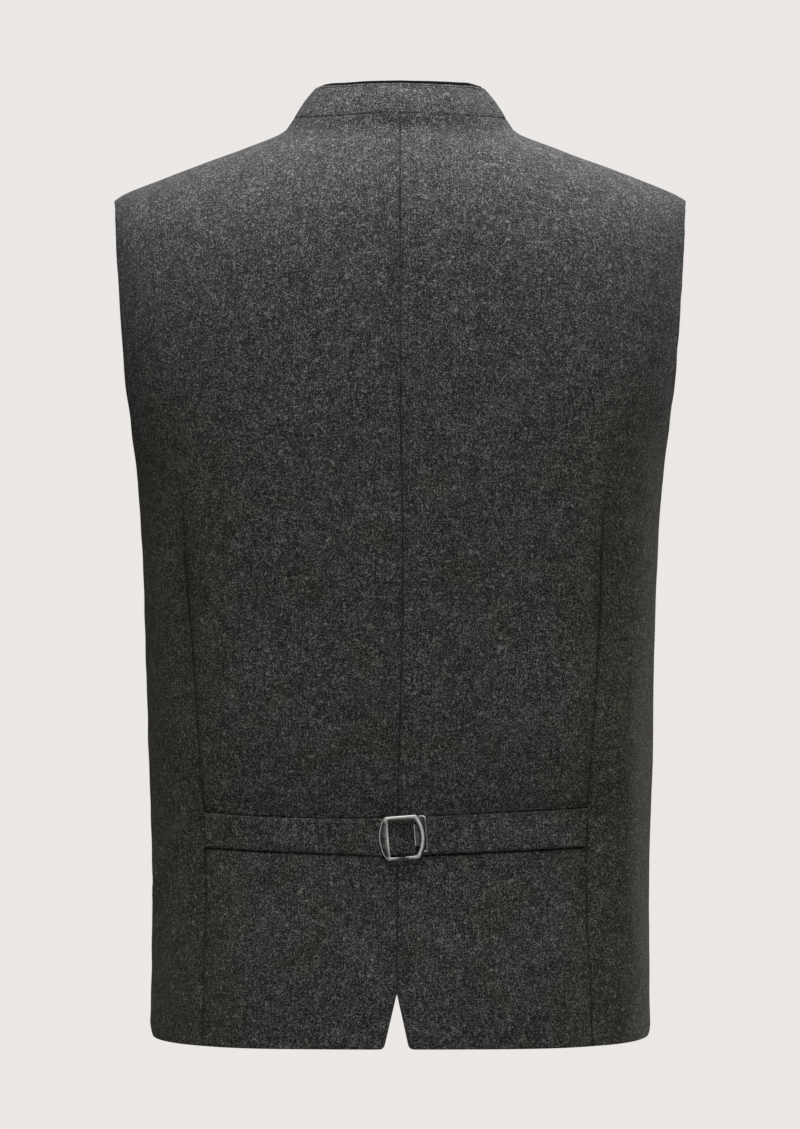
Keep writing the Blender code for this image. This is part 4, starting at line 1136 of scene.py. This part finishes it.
def tube_piece(name, loops, finish, uv=None, worn=None):
    """A closed piece from loops of points along a path, with a flat cap at each end."""
    sides, caps = tube_faces(*loops.shape[:2])
    vertices = loops.reshape(-1, 3)
    ends = np.stack([loops[0].mean(0), loops[-1].mean(0)])
    if points_inwards(vertices[sides]):
        sides, caps = sides[:, ::-1], caps[:, ::-1]
    if uv is not None:
        uv = np.concatenate([uv.reshape(-1, 2), uv[0].mean(0)[None], uv[-1].mean(0)[None]])
    values = {}
    if worn is not None:
        values["worn"] = np.append(np.broadcast_to(worn, loops.shape[:2]), [0, 0])
    return make_piece(name, np.concatenate([vertices, ends]), sides.tolist() + caps.tolist(), [finish],
                      uv, values=values)


def strip_uv(line, height):
    """Cloth coordinates of a strip: length along it and height up it."""
    along = walked(line, 0)[:, None]
    return np.stack(np.broadcast_arrays(along, height), -1)


neck_line = collar_line()
height, shift = strip_profile(0, COLLAR_HEIGHT - EDGE_SHOWING, 0, -WALL)
taper = TAPER * ramp(np.abs(neck_line[:, :1]), NECK_HALF * 0.80, NECK_HALF)
height = height + EDGE_SHOWING * taper * ramp(height, COLLAR_HEIGHT * 0.5, COLLAR_HEIGHT - EDGE_SHOWING)
walk = walked(neck_line, 0)[:, None]
outer_face = shift > -WALL / 2
sewn = bump(height, COLLAR_HEIGHT - STITCH_DEPTH, 0.0006) + 0.5 * bump(height, LOWER_SEAM, 0.0010)
swell = SWELL_HEIGHT * np.sin(walk * 170 + 2 * np.sin(walk * 41))
swell = swell * np.sin(height / COLLAR_HEIGHT * math.pi)
turned_in = TURNED_IN * edge_roll(height - FOOT_ROUND, SEAM_ROLL)
relief = np.where(outer_face, swell - SEWN_DEPTH * sewn - turned_in, 0)
collar = tube_piece("wool_collar", collar_points(neck_line, height, shift + relief), WOOL,
                    strip_uv(neck_line, height))

right_of_centre = bump(walk, walk[-1] * 0.60, walk[-1] * 0.16)
left_of_centre = bump(walk, walk[-1] * 0.36, walk[-1] * 0.10)
proud = EDGE_SHOWING * (0.25 * right_of_centre - 0.15 * left_of_centre)
outside = -WALL - GAP
height, shift = strip_profile(FACING_FOOT, COLLAR_HEIGHT, outside, outside - FACING_WALL)
near_top = ramp(height, COLLAR_HEIGHT - EDGE_SHOWING - 0.0010, COLLAR_HEIGHT - 0.0008)
shift = shift + FACING_ROLL * near_top
height = height + proud * near_top
facing = tube_piece("collar_facing_cloth", collar_points(neck_line, height, shift), FACING,
                    strip_uv(neck_line, height))

neck_length = float(walk[-1, 0])
for piece, node, slot_name in ((collar, "collar", "wool"), (facing, "collar_facing", "dark_facing")):
    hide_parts(node)
print(f"collar {neck_length:.3f} m long and {COLLAR_HEIGHT * 1000:.1f} mm high")

# %% [markdown]
# ## Collar stitches
#
# The wool and its facing are sewn together a little below the collar's top. The thread sinks into the
# thick cloth, so only a row of small dark dashes shows. Each stitch is one small rounded bar, and the
# whole row is worked out as one array of bars.

# %% A row of stitches
STITCH_PITCH, STITCH_LENGTH, STITCH_RADIUS = 0.0034, 0.0021, 0.00028
STITCH_START, STITCH_SINK = 0.006, 0.00020


def full_turn(count):
    """Angles of a whole turn, in even steps."""
    return np.linspace(0, 2 * math.pi, count, endpoint=False)


def thread_bars(centres, along, out, length, radius, name, finish):
    """Rounded bars: the profile radius times sin(a) and length times cos(a) / 2, turned round."""
    turn = full_turn(8)
    lean = np.linspace(0, math.pi, 7)[1:-1]
    side = np.cross(out, along)
    ring = (side[:, None, None] * np.cos(turn)[None, None, :, None]
            + out[:, None, None] * np.sin(turn)[None, None, :, None]) * radius
    body = centres[:, None, None] + ring * np.sin(lean)[None, :, None, None] ** 0.5
    body = body - along[:, None, None] * (length / 2 * np.cos(lean))[None, :, None, None]
    count = len(centres)
    tips = np.stack([centres - along * length / 2, centres + along * length / 2], 1)
    points = np.concatenate([body.reshape(count, -1, 3), tips], 1)
    quads, caps = tube_faces(len(lean), len(turn))
    if points_inwards((points[0] - points[0].mean(0))[quads]):
        quads, caps = quads[:, ::-1], caps[:, ::-1]
    start = (np.arange(count) * points.shape[1])[:, None, None]
    faces = (quads + start).reshape(-1, 4).tolist() + (caps + start).reshape(-1, 3).tolist()
    return make_piece(name, points, faces, [finish])


THREAD = cloth_material("dark_thread", grey(0.004), grey(0.009), grey(0.02), fleck=0.6, cloud=0.3,
                        bump_height=0.00004)
places = np.arange(STITCH_START, neck_length - STITCH_START, STITCH_PITCH)
stitch_line = np.stack([np.interp(places, walk[:, 0], neck_line[:, k]) for k in range(3)], -1)
heights = np.array([COLLAR_HEIGHT - STITCH_DEPTH - 0.0003, COLLAR_HEIGHT - STITCH_DEPTH])
rows = collar_points(stitch_line, heights, np.array([0.0, -STITCH_SINK]))
sew_along = unit(np.gradient(rows[:, 1], axis=0))
sew_up = unit(rows[:, 1] - rows[:, 0])
sew_out = unit(np.cross(sew_up, sew_along))
sew_out = sew_out * np.sign((sew_out * (rows[:, 1] - (0, -0.02, 0))).sum(-1).mean())
collar_stitches = thread_bars(rows[:, 1], sew_along, sew_out, STITCH_LENGTH, STITCH_RADIUS,
                              "collar_stitches", THREAD)
print(len(places), "stitches")

# %% [markdown]
# ## Cinch strap
#
# A strap across the back draws the waist in. Its two parts are caught in the side back seams and meet
# in a metal buckle. Each is a flat tube of wool: a rounded section, carried along the back a hair above
# it.

# %% Strap parts
STRAP_WALL, STRAP_WIDTH = 0.0026, 0.0262
STRAP_LEFT_END, STRAP_RIGHT_END = 0.0121, 0.0130     # both ends lie right of the centre
STRAP_EDGE, STRAP_POINTS, STRAP_CROWN = 0.0011, 22, 0.00025
STRAP_WAVE = 0.00016
DIMPLE, DIMPLE_AT, DIMPLE_UP = -0.0006, (0.060, 0.006), (0.45, 0.22)         # along, and up its width
BUCKLE_PULL, BUCKLE_PULL_AT = 0.0004, (0.020, 0.010)


def strap_section():
    """A closed loop of (part of the width from 0 to 1, height): a flat bar with round edges."""
    edge = STRAP_EDGE / STRAP_WIDTH
    over = np.linspace(edge, 1 - edge, STRAP_POINTS)
    arc = np.linspace(-0.5, 0.5, 7)[1:-1] * math.pi
    part = np.concatenate([over, 1 - edge * (1 - np.cos(arc)), over[::-1], edge * (1 - np.cos(arc))])
    middle = STRAP_WALL / 2
    lift = np.concatenate([np.zeros(STRAP_POINTS), middle + middle * np.sin(arc),
                           np.full(STRAP_POINTS, STRAP_WALL), middle - middle * np.sin(arc)])
    crown = np.where(lift > middle, STRAP_CROWN * (1 - (2 * part - 1) ** 2), 0)
    return part, lift + crown


def strap_loops(across_from, across_to, count, tilt):
    """Loops of a strap between its two edges. It lies on the back's surface, moved out along the
    surface's normal, and its top stands out further than its bottom by the tilt."""
    share = np.linspace(across_from, across_to, count)[:, None]
    part, lift = strap_section()
    own_side = (0, across_from) if across_from > 0 else (across_to, -1e-9)
    bottom, top, _ = strap_edges(np.clip(share, *own_side))
    level = bottom + (top - bottom) * part
    lift = np.broadcast_to(lift, level.shape)
    share = np.broadcast_to(share, level.shape)
    across = share * QUARTER_GIRTH
    wave = STRAP_WAVE * np.sin(share * 61 + 1.0) * np.sin(part * math.pi)
    dimple = DIMPLE * bump(across, *DIMPLE_AT) * bump(part, *DIMPLE_UP)
    pull = BUCKLE_PULL * bump(across, *BUCKLE_PULL_AT) * np.sin(part * math.pi * 2)
    lift = lift + np.where(lift > STRAP_WALL / 2, wave + dimple + pull + tilt * (part - 0.5), 0)
    out = surface_normals(share, level, "back")
    points = surface(share, level, "back") + out * lift[..., None]
    return points, np.stack([across, level + lift * 2], -1)


seam_left, seam_right = (float(side_back_share(np.array(STRAP_LEVEL), side))
                         for side in ("left", "right"))
STRAP_PARTS = (
    # side, share at its left end, share at its right end, loops, tilt
    ("left", seam_left, -level_share(STRAP_LEFT_END), 96, 0.0012),
    ("right", -level_share(STRAP_RIGHT_END), -seam_right, 80, -0.0002),
)
for side, start, end, count, tilt in STRAP_PARTS:
    loops, uv = strap_loops(start, end, count, tilt)
    piece = tube_piece("wool_strap_" + side, loops, WOOL, uv)
    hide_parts("strap_" + side)

# %% [markdown]
# ## Worn nickel
#
# The buckle is cast metal with an antique finish: satin, darker in its hollows, and with fine
# scratches. A second node group makes cloudy tarnish and small scratches. It drives colour, roughness
# and a faint bump. Where a value on the points is high, the metal is lighter and less metallic: partly
# real wear, partly painted highlights on its rims and ridges.


# %% Metal group and materials
CLOUD_WAVES, SCRATCH_WAVES, FINE_WAVES = 260, (2600, 2600, 240), 2400        # per metre
# Where the wear value is high the metal is lighter and less metallic: real wear, and painted highlights
# on rims and ridges.
BRIGHT, CLOUD_DARKENS, WEAR_BRIGHTENS, WEAR_DULLS = 0.75, -1.2, 0.85, -0.9
TARNISH_ROUGH, SCRATCH_ROUGH, SCRATCH_HEIGHT, METAL_BUMP = 0.18, 0.10, 0.6, 0.00003


def make_tarnish():
    """Tarnish: soft noise darkens the metal and roughens it, except where it is worn or carries painted
    highlights, which are lighter and less metallic. There fine scratches scatter the light, so it is less
    mirror-like. Scratches: noise stretched thin."""
    group, given, result = new_group(
        "worn_metal",
        [("Place", "NodeSocketVector", None), ("Clean", "NodeSocketColor", None),
         ("Tarnished", "NodeSocketColor", None), ("Worn", "NodeSocketFloat", 0.0),
         ("Gloss Roughness", "NodeSocketFloat", 0.3)],
        [("Color", "NodeSocketColor"), ("Roughness", "NodeSocketFloat"),
         ("Metallic", "NodeSocketFloat"), ("Height", "NodeSocketFloat")])
    place, worn = given.outputs["Place"], given.outputs["Worn"]
    cloud, fine = noise(group, place, CLOUD_WAVES, 4, 0.65), noise(group, place, FINE_WAVES, 2)
    scratch = noise(group, stretched(group, place, SCRATCH_WAVES), 1, 2)
    bright = maths(group, "MULTIPLY_ADD", cloud, CLOUD_DARKENS, BRIGHT)
    bright = maths(group, "MULTIPLY_ADD", worn, WEAR_BRIGHTENS, bright)
    tarnish = maths(group, "SUBTRACT", 1.0, bright, clamp=True)
    rough = maths(group, "MULTIPLY_ADD", tarnish, TARNISH_ROUGH, given.outputs["Gloss Roughness"])
    made = {
        "Color": mixed(group, tarnish, given.outputs["Clean"], given.outputs["Tarnished"]),
        "Roughness": maths(group, "MULTIPLY_ADD", scratch, SCRATCH_ROUGH, rough),
        "Metallic": maths(group, "MULTIPLY_ADD", worn, WEAR_DULLS, 1.0, clamp=True),
        "Height": maths(group, "MULTIPLY_ADD", scratch, SCRATCH_HEIGHT, fine),
    }
    for socket, value in made.items():
        group.links.new(value, result.inputs[socket])
    return group


tarnish_group = make_tarnish()


def metal_material(name, clean, tarnished, roughness):
    """A metal with the tarnish group."""
    made, _ = group_material(
        name, tarnish_group,
        {"Clean": (*clean, 1), "Tarnished": (*tarnished, 1), "Gloss Roughness": roughness},
        {"Place": "Object"}, "Worn", METAL_BUMP,
        {"Color": "Base Color", "Roughness": "Roughness", "Metallic": "Metallic"})
    return made


NICKEL = metal_material("worn_nickel", (0.93, 0.93, 0.90), (0.065, 0.065, 0.06), 0.18)
BUTTON_METAL = metal_material("worn_button_metal", (0.50, 0.49, 0.46), (0.12, 0.115, 0.11), 0.26)
print("metals:", NICKEL.name, BUTTON_METAL.name)

# %% [markdown]
# ## Buckle
#
# The frame has flat bars above and below and bowed sides. Its left side is wide: a thin outer rim, a
# scooped field and a raised inner edge. The other sides are narrow and round. The section changes with
# the width of the band, so one formula makes the whole ring.

# %% Buckle frame
BUCKLE_AT, BUCKLE_TILT = (-0.0014, -0.5120), math.radians(4.5)
BUCKLE_HALF_WIDTH, BUCKLE_HALF_HEIGHT, BUCKLE_BAR_HALF = 0.0160, 0.0155, 0.0112
BUCKLE_THICK, BUCKLE_RIM = 0.0020, 0.0029
WIDE_BAND = (0.0034, 0.0050)         # between these widths the bar becomes a scooped band
BAR_POWER, BAR_SIDE, BAR_FOOT = 3.2, 0.45, 0.30
SCOOP, SCOOP_MIDDLE, SCOOP_HALF, SCOOP_POWER = 0.627, 0.46, 0.33, 6          # parts of the band
BAND_RIDGE, BAND_RIDGE_AT = 0.22, (0.88, 0.09)
WINDOW_LEFT, WINDOW_HALF_HEIGHT, WINDOW_POWER = 0.0093, 0.0132, 16
INNER_BAR = (-0.0087, -0.0065, 0.0087)
BAR_THICK, LOOP_WIRE = 0.0012, 0.00055
BOW = BUCKLE_HALF_WIDTH - BUCKLE_BAR_HALF
BOW_RADIUS = (BUCKLE_HALF_HEIGHT ** 2 + BOW ** 2) / (2 * BOW)
LOOP_ROUTE = (
    # across, up
    (-0.0128, 0.0140),
    (-0.0164, 0.0140),
    (-0.0172, 0.0132),
    (-0.0172, -0.0098),
    (-0.0164, -0.0106),
    (-0.0146, -0.0106),
)
buckle_back = float(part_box("buckle_frame")[0][1]) - STRAP_SINK


def bowed(angle, radius):
    """Distance to an arc of this radius whose middle lies across the buckle's centre."""
    centre = BOW_RADIUS - BUCKLE_HALF_WIDTH
    across = np.abs(np.cos(angle))
    return -centre * across + np.sqrt(centre ** 2 * (across ** 2 - 1) + radius ** 2)


def buckle_outline(angle):
    """Outer edge of the frame: flat above and below, bowed at the sides, corners softened by adding
    the two limits with a high power."""
    flat = BUCKLE_HALF_HEIGHT / np.maximum(np.abs(np.sin(angle)), 1e-6)
    bow = bowed(angle, BOW_RADIUS)
    return (flat ** -40.0 + bow ** -40.0) ** (-1 / 40)


def window_outline(angle):
    """Edge of the window: straight on the left with rounded corners, bowed on the right."""
    tall = np.abs(np.sin(angle) / WINDOW_HALF_HEIGHT) ** WINDOW_POWER
    left = (np.abs(np.cos(angle) / WINDOW_LEFT) ** WINDOW_POWER + tall) ** (-1 / WINDOW_POWER)
    bow = bowed(angle, BOW_RADIUS - BUCKLE_RIM)
    right = (bow ** -WINDOW_POWER + tall) ** (-1 / WINDOW_POWER)
    return np.where(np.cos(angle) > 0, left, right)


def on_buckle(across, up, depth):
    """Points of the upright, slightly turned buckle, from its own axes to the vest's."""
    x = across * math.cos(BUCKLE_TILT) + up * math.sin(BUCKLE_TILT) + BUCKLE_AT[0]
    z = up * math.cos(BUCKLE_TILT) - across * math.sin(BUCKLE_TILT) + BUCKLE_AT[1]
    return np.stack([x, np.broadcast_to(depth, x.shape) + buckle_back, z], -1)


def buckle_frame_loops():
    """Rings of the frame. Going inwards, the front is a rounded bar where the band is narrow, and a
    rim, a scoop and a ridge where it is wide."""
    angle = full_turn(288)
    outer, inner = buckle_outline(angle), window_outline(angle)
    band = outer - inner
    wide = ramp(band, *WIDE_BAND)
    inward = np.concatenate([[0, 0], (1 - np.cos(np.linspace(0, math.pi, 33))) / 2, [1, 1]])
    rounding = np.sqrt(np.clip(1 - np.abs(2 * inward - 1) ** BAR_POWER, 0, 1))
    rise = BAR_SIDE + (1 - BAR_SIDE) * rounding
    rise[[0, -1]] = 0
    rise[[1, -2]] = BAR_FOOT
    scoop = SCOOP * np.exp(-((inward - SCOOP_MIDDLE) / SCOOP_HALF) ** SCOOP_POWER)
    ridge = BAND_RIDGE * bump(inward, *BAND_RIDGE_AT)
    height = BUCKLE_THICK * (rise[:, None] - wide * (scoop - ridge)[:, None])
    radius = outer - inward[:, None] * band
    # The rim, the raised edge and the field towards it are lighter: painted highlights, partly real wear.
    field = 0.65 * ramp(inward, 0.15, 0.95) ** 1.5 * (1 - ramp(inward, 0.96, 1.0))
    worn_wide = (1.1 * bump(inward, 0.03, 0.07) + field + 0.8 * bump(inward, 0.89, 0.11))[:, None]
    # The middle of the lower bar is darker.
    below = bump(np.cos(angle), 0.05, 0.42) * (np.sin(angle) < 0)
    worn_narrow = 1.1 * bump(inward[:, None], 0.48 - 0.14 * np.sin(angle), 0.36) * (1 - below)
    worn = wide * worn_wide + (1 - wide) * worn_narrow - 0.2 * below
    return on_buckle(radius * np.cos(angle), radius * np.sin(angle), height), worn


def ring_piece(name, loops, finish, worn):
    """A piece that closes on itself both ways."""
    count, around = loops.shape[:2]
    number = np.arange(count * around).reshape(count, around)
    below = np.roll(number, -1, 0)
    faces = np.stack([number, np.roll(number, -1, 1), np.roll(below, -1, 1), below], -1).reshape(-1, 4)
    faces = faces[:, ::-1] if points_inwards(loops.reshape(-1, 3)[faces]) else faces
    return make_piece(name, loops, faces.tolist(), [finish], values={"worn": worn})


frame_loops, frame_worn = buckle_frame_loops()
buckle = ring_piece("nickel_buckle_frame", frame_loops, NICKEL, frame_worn)
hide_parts("buckle_frame")
print("buckle frame:", len(buckle.data.polygons), "faces")


# %% Inner bar and wire loop
BAR_PROFILE = (
    # part of the way across, height, wear and painted highlight
    (0.00, 0.00, 0.0),
    (0.00, 0.60, 0.3),
    (0.03, 0.95, 0.8),
    (0.08, 1.15, 1.0),
    (0.14, 1.10, 0.9),
    (0.20, 0.80, 0.3),
    (0.30, 0.62, 0.1),
    (0.50, 0.60, 0.1),
    (0.75, 0.60, 0.1),
    (0.97, 0.60, 0.1),
    (1.00, 0.50, 0.1),
    (1.00, 0.00, 0.1),
)


def inner_bar_loops():
    """Loops up the inner bar: a flat plate whose straight edge carries a small round ridge."""
    straight, foot, top = INNER_BAR
    up = np.linspace(foot, top, 40)
    rim = BOW_RADIUS - BUCKLE_RIM - GAP
    far = -(np.sqrt(rim ** 2 - up ** 2) - (BOW_RADIUS - BUCKLE_HALF_WIDTH))
    end = np.minimum(up - foot, top - up)
    part, rise, worn = (column(BAR_PROFILE, k) for k in range(3))
    across = straight + part * (far - straight)[:, None]
    tip = 1 - 0.5 * edge_roll(end, 0.0006)[:, None]
    return on_buckle(across, np.broadcast_to(up[:, None], across.shape), BAR_THICK * rise * tip), worn


def wire_path(route, count):
    """The route with round corners: the corner-cutting rule, a quarter and three quarters of the way
    along each piece, done three times, then even steps."""
    path = np.array(route, dtype=float)
    for _ in range(3):
        first, second = path[:-1], path[1:]
        cut = np.stack([first * 0.75 + second * 0.25, first * 0.25 + second * 0.75], 1).reshape(-1, 2)
        path = np.concatenate([path[:1], cut[1:-1], path[-1:]])
    run = walked(np.append(path, np.zeros((len(path), 1)), 1), 0)
    steps = np.linspace(0, run[-1], count)
    return np.stack([np.interp(steps, run, path[:, k]) for k in (0, 1)], -1)


def wire_loops(path, radius):
    """Circles of this radius round a path in the buckle's plane."""
    along = unit(np.gradient(path, axis=0))
    side = np.stack([-along[:, 1], along[:, 0]], -1)
    turn = full_turn(16)
    flat = path[:, None] + side[:, None] * (radius * np.cos(turn))[None, :, None]
    depth = radius + radius * np.sin(turn)
    return on_buckle(flat[..., 0], flat[..., 1], np.broadcast_to(depth, flat.shape[:2]))


bar_loops, bar_worn = inner_bar_loops()
inner_bar = tube_piece("nickel_inner_bar", bar_loops, NICKEL, worn=bar_worn)
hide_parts("buckle_bar")
wire = wire_loops(wire_path(LOOP_ROUTE, 90), LOOP_WIRE)
wire_worn = 0.35 + 0.65 * bump(np.linspace(0, 1, len(wire)), 0.13, 0.04)[:, None]
wire_loop = tube_piece("nickel_wire_loop", wire, NICKEL, worn=wire_worn)
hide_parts("buckle_loop")
for piece in (inner_bar, wire_loop):
    print(piece.name, len(piece.data.polygons), "faces")

# %% [markdown]
# ## Buttons
#
# Six domed metal buttons close the front. A button is a profile turned round its axis, then set on the
# over front along the cloth's normal.

# %% Turn and place the buttons
BUTTONS, BUTTON_TOP, BUTTON_PITCH, BUTTON_LIFT = 6, -0.105, 0.0895, 2.5 * GAP
BUTTON_PROFILE = (
    # radius, height
    (0.0000, 0.0000),
    (0.0062, 0.0000),
    (0.0088, 0.0007),
    (0.0094, 0.0011),
    (0.0095, 0.0015),
    (0.0093, 0.0019),
    (0.0088, 0.0021),
    (0.0083, 0.0020),
    (0.0079, 0.0019),
    (0.0074, 0.0022),
    (0.0060, 0.0028),
    (0.0040, 0.0032),
    (0.0020, 0.0033),
    (0.0000, 0.0033),
)
BUTTON_RINGS = np.linspace(0, len(BUTTON_PROFILE) - 1, 53)[1:-1, None]       # rows of the table


def button_loops(place, out):
    """Rings of a button round its axis."""
    at = np.arange(len(BUTTON_PROFILE))
    radius, height = (smooth(BUTTON_RINGS, at, column(BUTTON_PROFILE, k)) for k in (0, 1))
    side = unit(np.cross(out, (0, 0, 1.0)))
    up = np.cross(side, out)
    turn = full_turn(64)
    return (place + (radius * np.cos(turn))[..., None] * side + (radius * np.sin(turn))[..., None] * up
            + (height + 0 * turn)[..., None] * out)


button_worn = bump(BUTTON_RINGS, 6.0, 1.0) + 0.5 * bump(BUTTON_RINGS, 13, 2.0)
levels = np.linspace(HEM, RIDGE - 0.05, 600)
front_heights = bare_form(np.zeros(600), levels, "front")[:, 2]
for k in range(BUTTONS):
    level = np.array(np.interp(BUTTON_TOP - k * BUTTON_PITCH, front_heights, levels))
    out = normals(lambda s, v: bare_form(s, v, "front"), np.array(0.0), level, "front")
    place = surface(np.array(0.0), level, "front") + out * BUTTON_LIFT
    button = tube_piece(f"metal_button_{k + 1}", button_loops(place, out), BUTTON_METAL,
                        worn=button_worn)
    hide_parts(f"button_{k + 1}")
print(BUTTONS, "buttons of", len(button.data.polygons), "faces")

# %% [markdown]
# ## Light and surroundings
#
# The vest hangs in an even, pale surround. A large overhead light makes the shoulders the brightest
# part, and the cloth grows darker down the back. A narrow strip on one side draws a lighter line along
# that edge, and a big soft front light fills the rest.

# %% Surround and floor
PALE, WORLD, WORLD_STRENGTH = (0.836, 0.802, 0.788, 1), (0.80, 0.80, 0.82, 1), 0.03
FLOOR_COLOUR, FLOOR_ROUGHNESS = (0.78, 0.75, 0.74, 1), 0.9
FLOOR_RADIUS, FLOOR_HEIGHT, FLOOR_CORNERS = 1.5, -1.15, 96
world = bpy.data.worlds.new("studio")
bpy.context.scene.world = world
world.use_nodes = True
tree = world.node_tree
background = tree.nodes["Background"]
path = tree.nodes.new("ShaderNodeLightPath")
seen = tree.nodes.new("ShaderNodeBackground")
seen.inputs["Color"].default_value = PALE
background.inputs["Color"].default_value = WORLD
background.inputs["Strength"].default_value = WORLD_STRENGTH
mix = tree.nodes.new("ShaderNodeMixShader")
tree.links.new(path.outputs["Is Camera Ray"], mix.inputs[0])
tree.links.new(background.outputs[0], mix.inputs[1])
tree.links.new(seen.outputs[0], mix.inputs[2])
tree.links.new(mix.outputs[0], tree.nodes["World Output"].inputs["Surface"])

turn = full_turn(FLOOR_CORNERS)
floor_points = np.stack([FLOOR_RADIUS * np.cos(turn), FLOOR_RADIUS * np.sin(turn),
                         0 * turn + FLOOR_HEIGHT], -1)
floor_mesh = bpy.data.meshes.new("studio_floor")
floor_mesh.from_pydata(floor_points.tolist(), [], [list(range(FLOOR_CORNERS))])
floor_finish = bpy.data.materials.new("pale_floor")
floor_finish.use_nodes = True
floor_shader = floor_finish.node_tree.nodes["Principled BSDF"]
floor_shader.inputs["Base Color"].default_value = FLOOR_COLOUR
floor_shader.inputs["Roughness"].default_value = FLOOR_ROUGHNESS
floor_mesh.materials.append(floor_finish)
floor = bpy.data.objects.new("studio_floor", floor_mesh)
bpy.context.collection.objects.link(floor)


# %% Lights
def area_light(name, place, aim, size, watts):
    """A soft rectangular light at a place, aimed at a point."""
    data = bpy.data.lights.new(name, "AREA")
    data.shape = "RECTANGLE"
    data.size, data.size_y = size
    data.energy = watts
    lamp = bpy.data.objects.new(name, data)
    bpy.context.collection.objects.link(lamp)
    lamp.location = place
    lamp.visible_camera = False
    away = np.array(place) - np.array(aim)
    lamp.rotation_euler = (math.atan2(np.hypot(away[0], away[1]), away[2]), 0,
                           math.atan2(away[0], -away[1]))


LIGHTS = (
    # name, place, aim, size, watts
    ("overhead_back", (0, 0.62, 1.45), (0, 0.1, -0.3), (1.1, 0.45), 18),
    ("overhead_far", (0, 1.30, 1.45), (0, 0.1, -0.3), (1.1, 0.45), 15.5),
    ("overhead", (0, -0.32, 1.20), (0, 0, 0), (1.2, 0.4), 25),
    ("overhead_front", (0, -1.0, 1.45), (0, -0.1, -0.2), (1.5, 0.7), 15),
    ("back_fill", (0, 2.6, 0.2), (0, 0, -0.3), (1.4, 1.4), 1.0),
    ("front_fill", (0, -2.6, 0.2), (0, 0, -0.3), (1.6, 1.6), 5),
    ("right_strip", (-1.0, -0.85, -0.56), (0, 0, -0.5), (0.3, 0.35), 6.0),
    ("right_top", (-1.3, 0.5, 1.2), (0, 0, -0.3), (0.6, 0.6), 3.6),
)
for light in LIGHTS:
    area_light(*light)
print(len(LIGHTS), "lights")
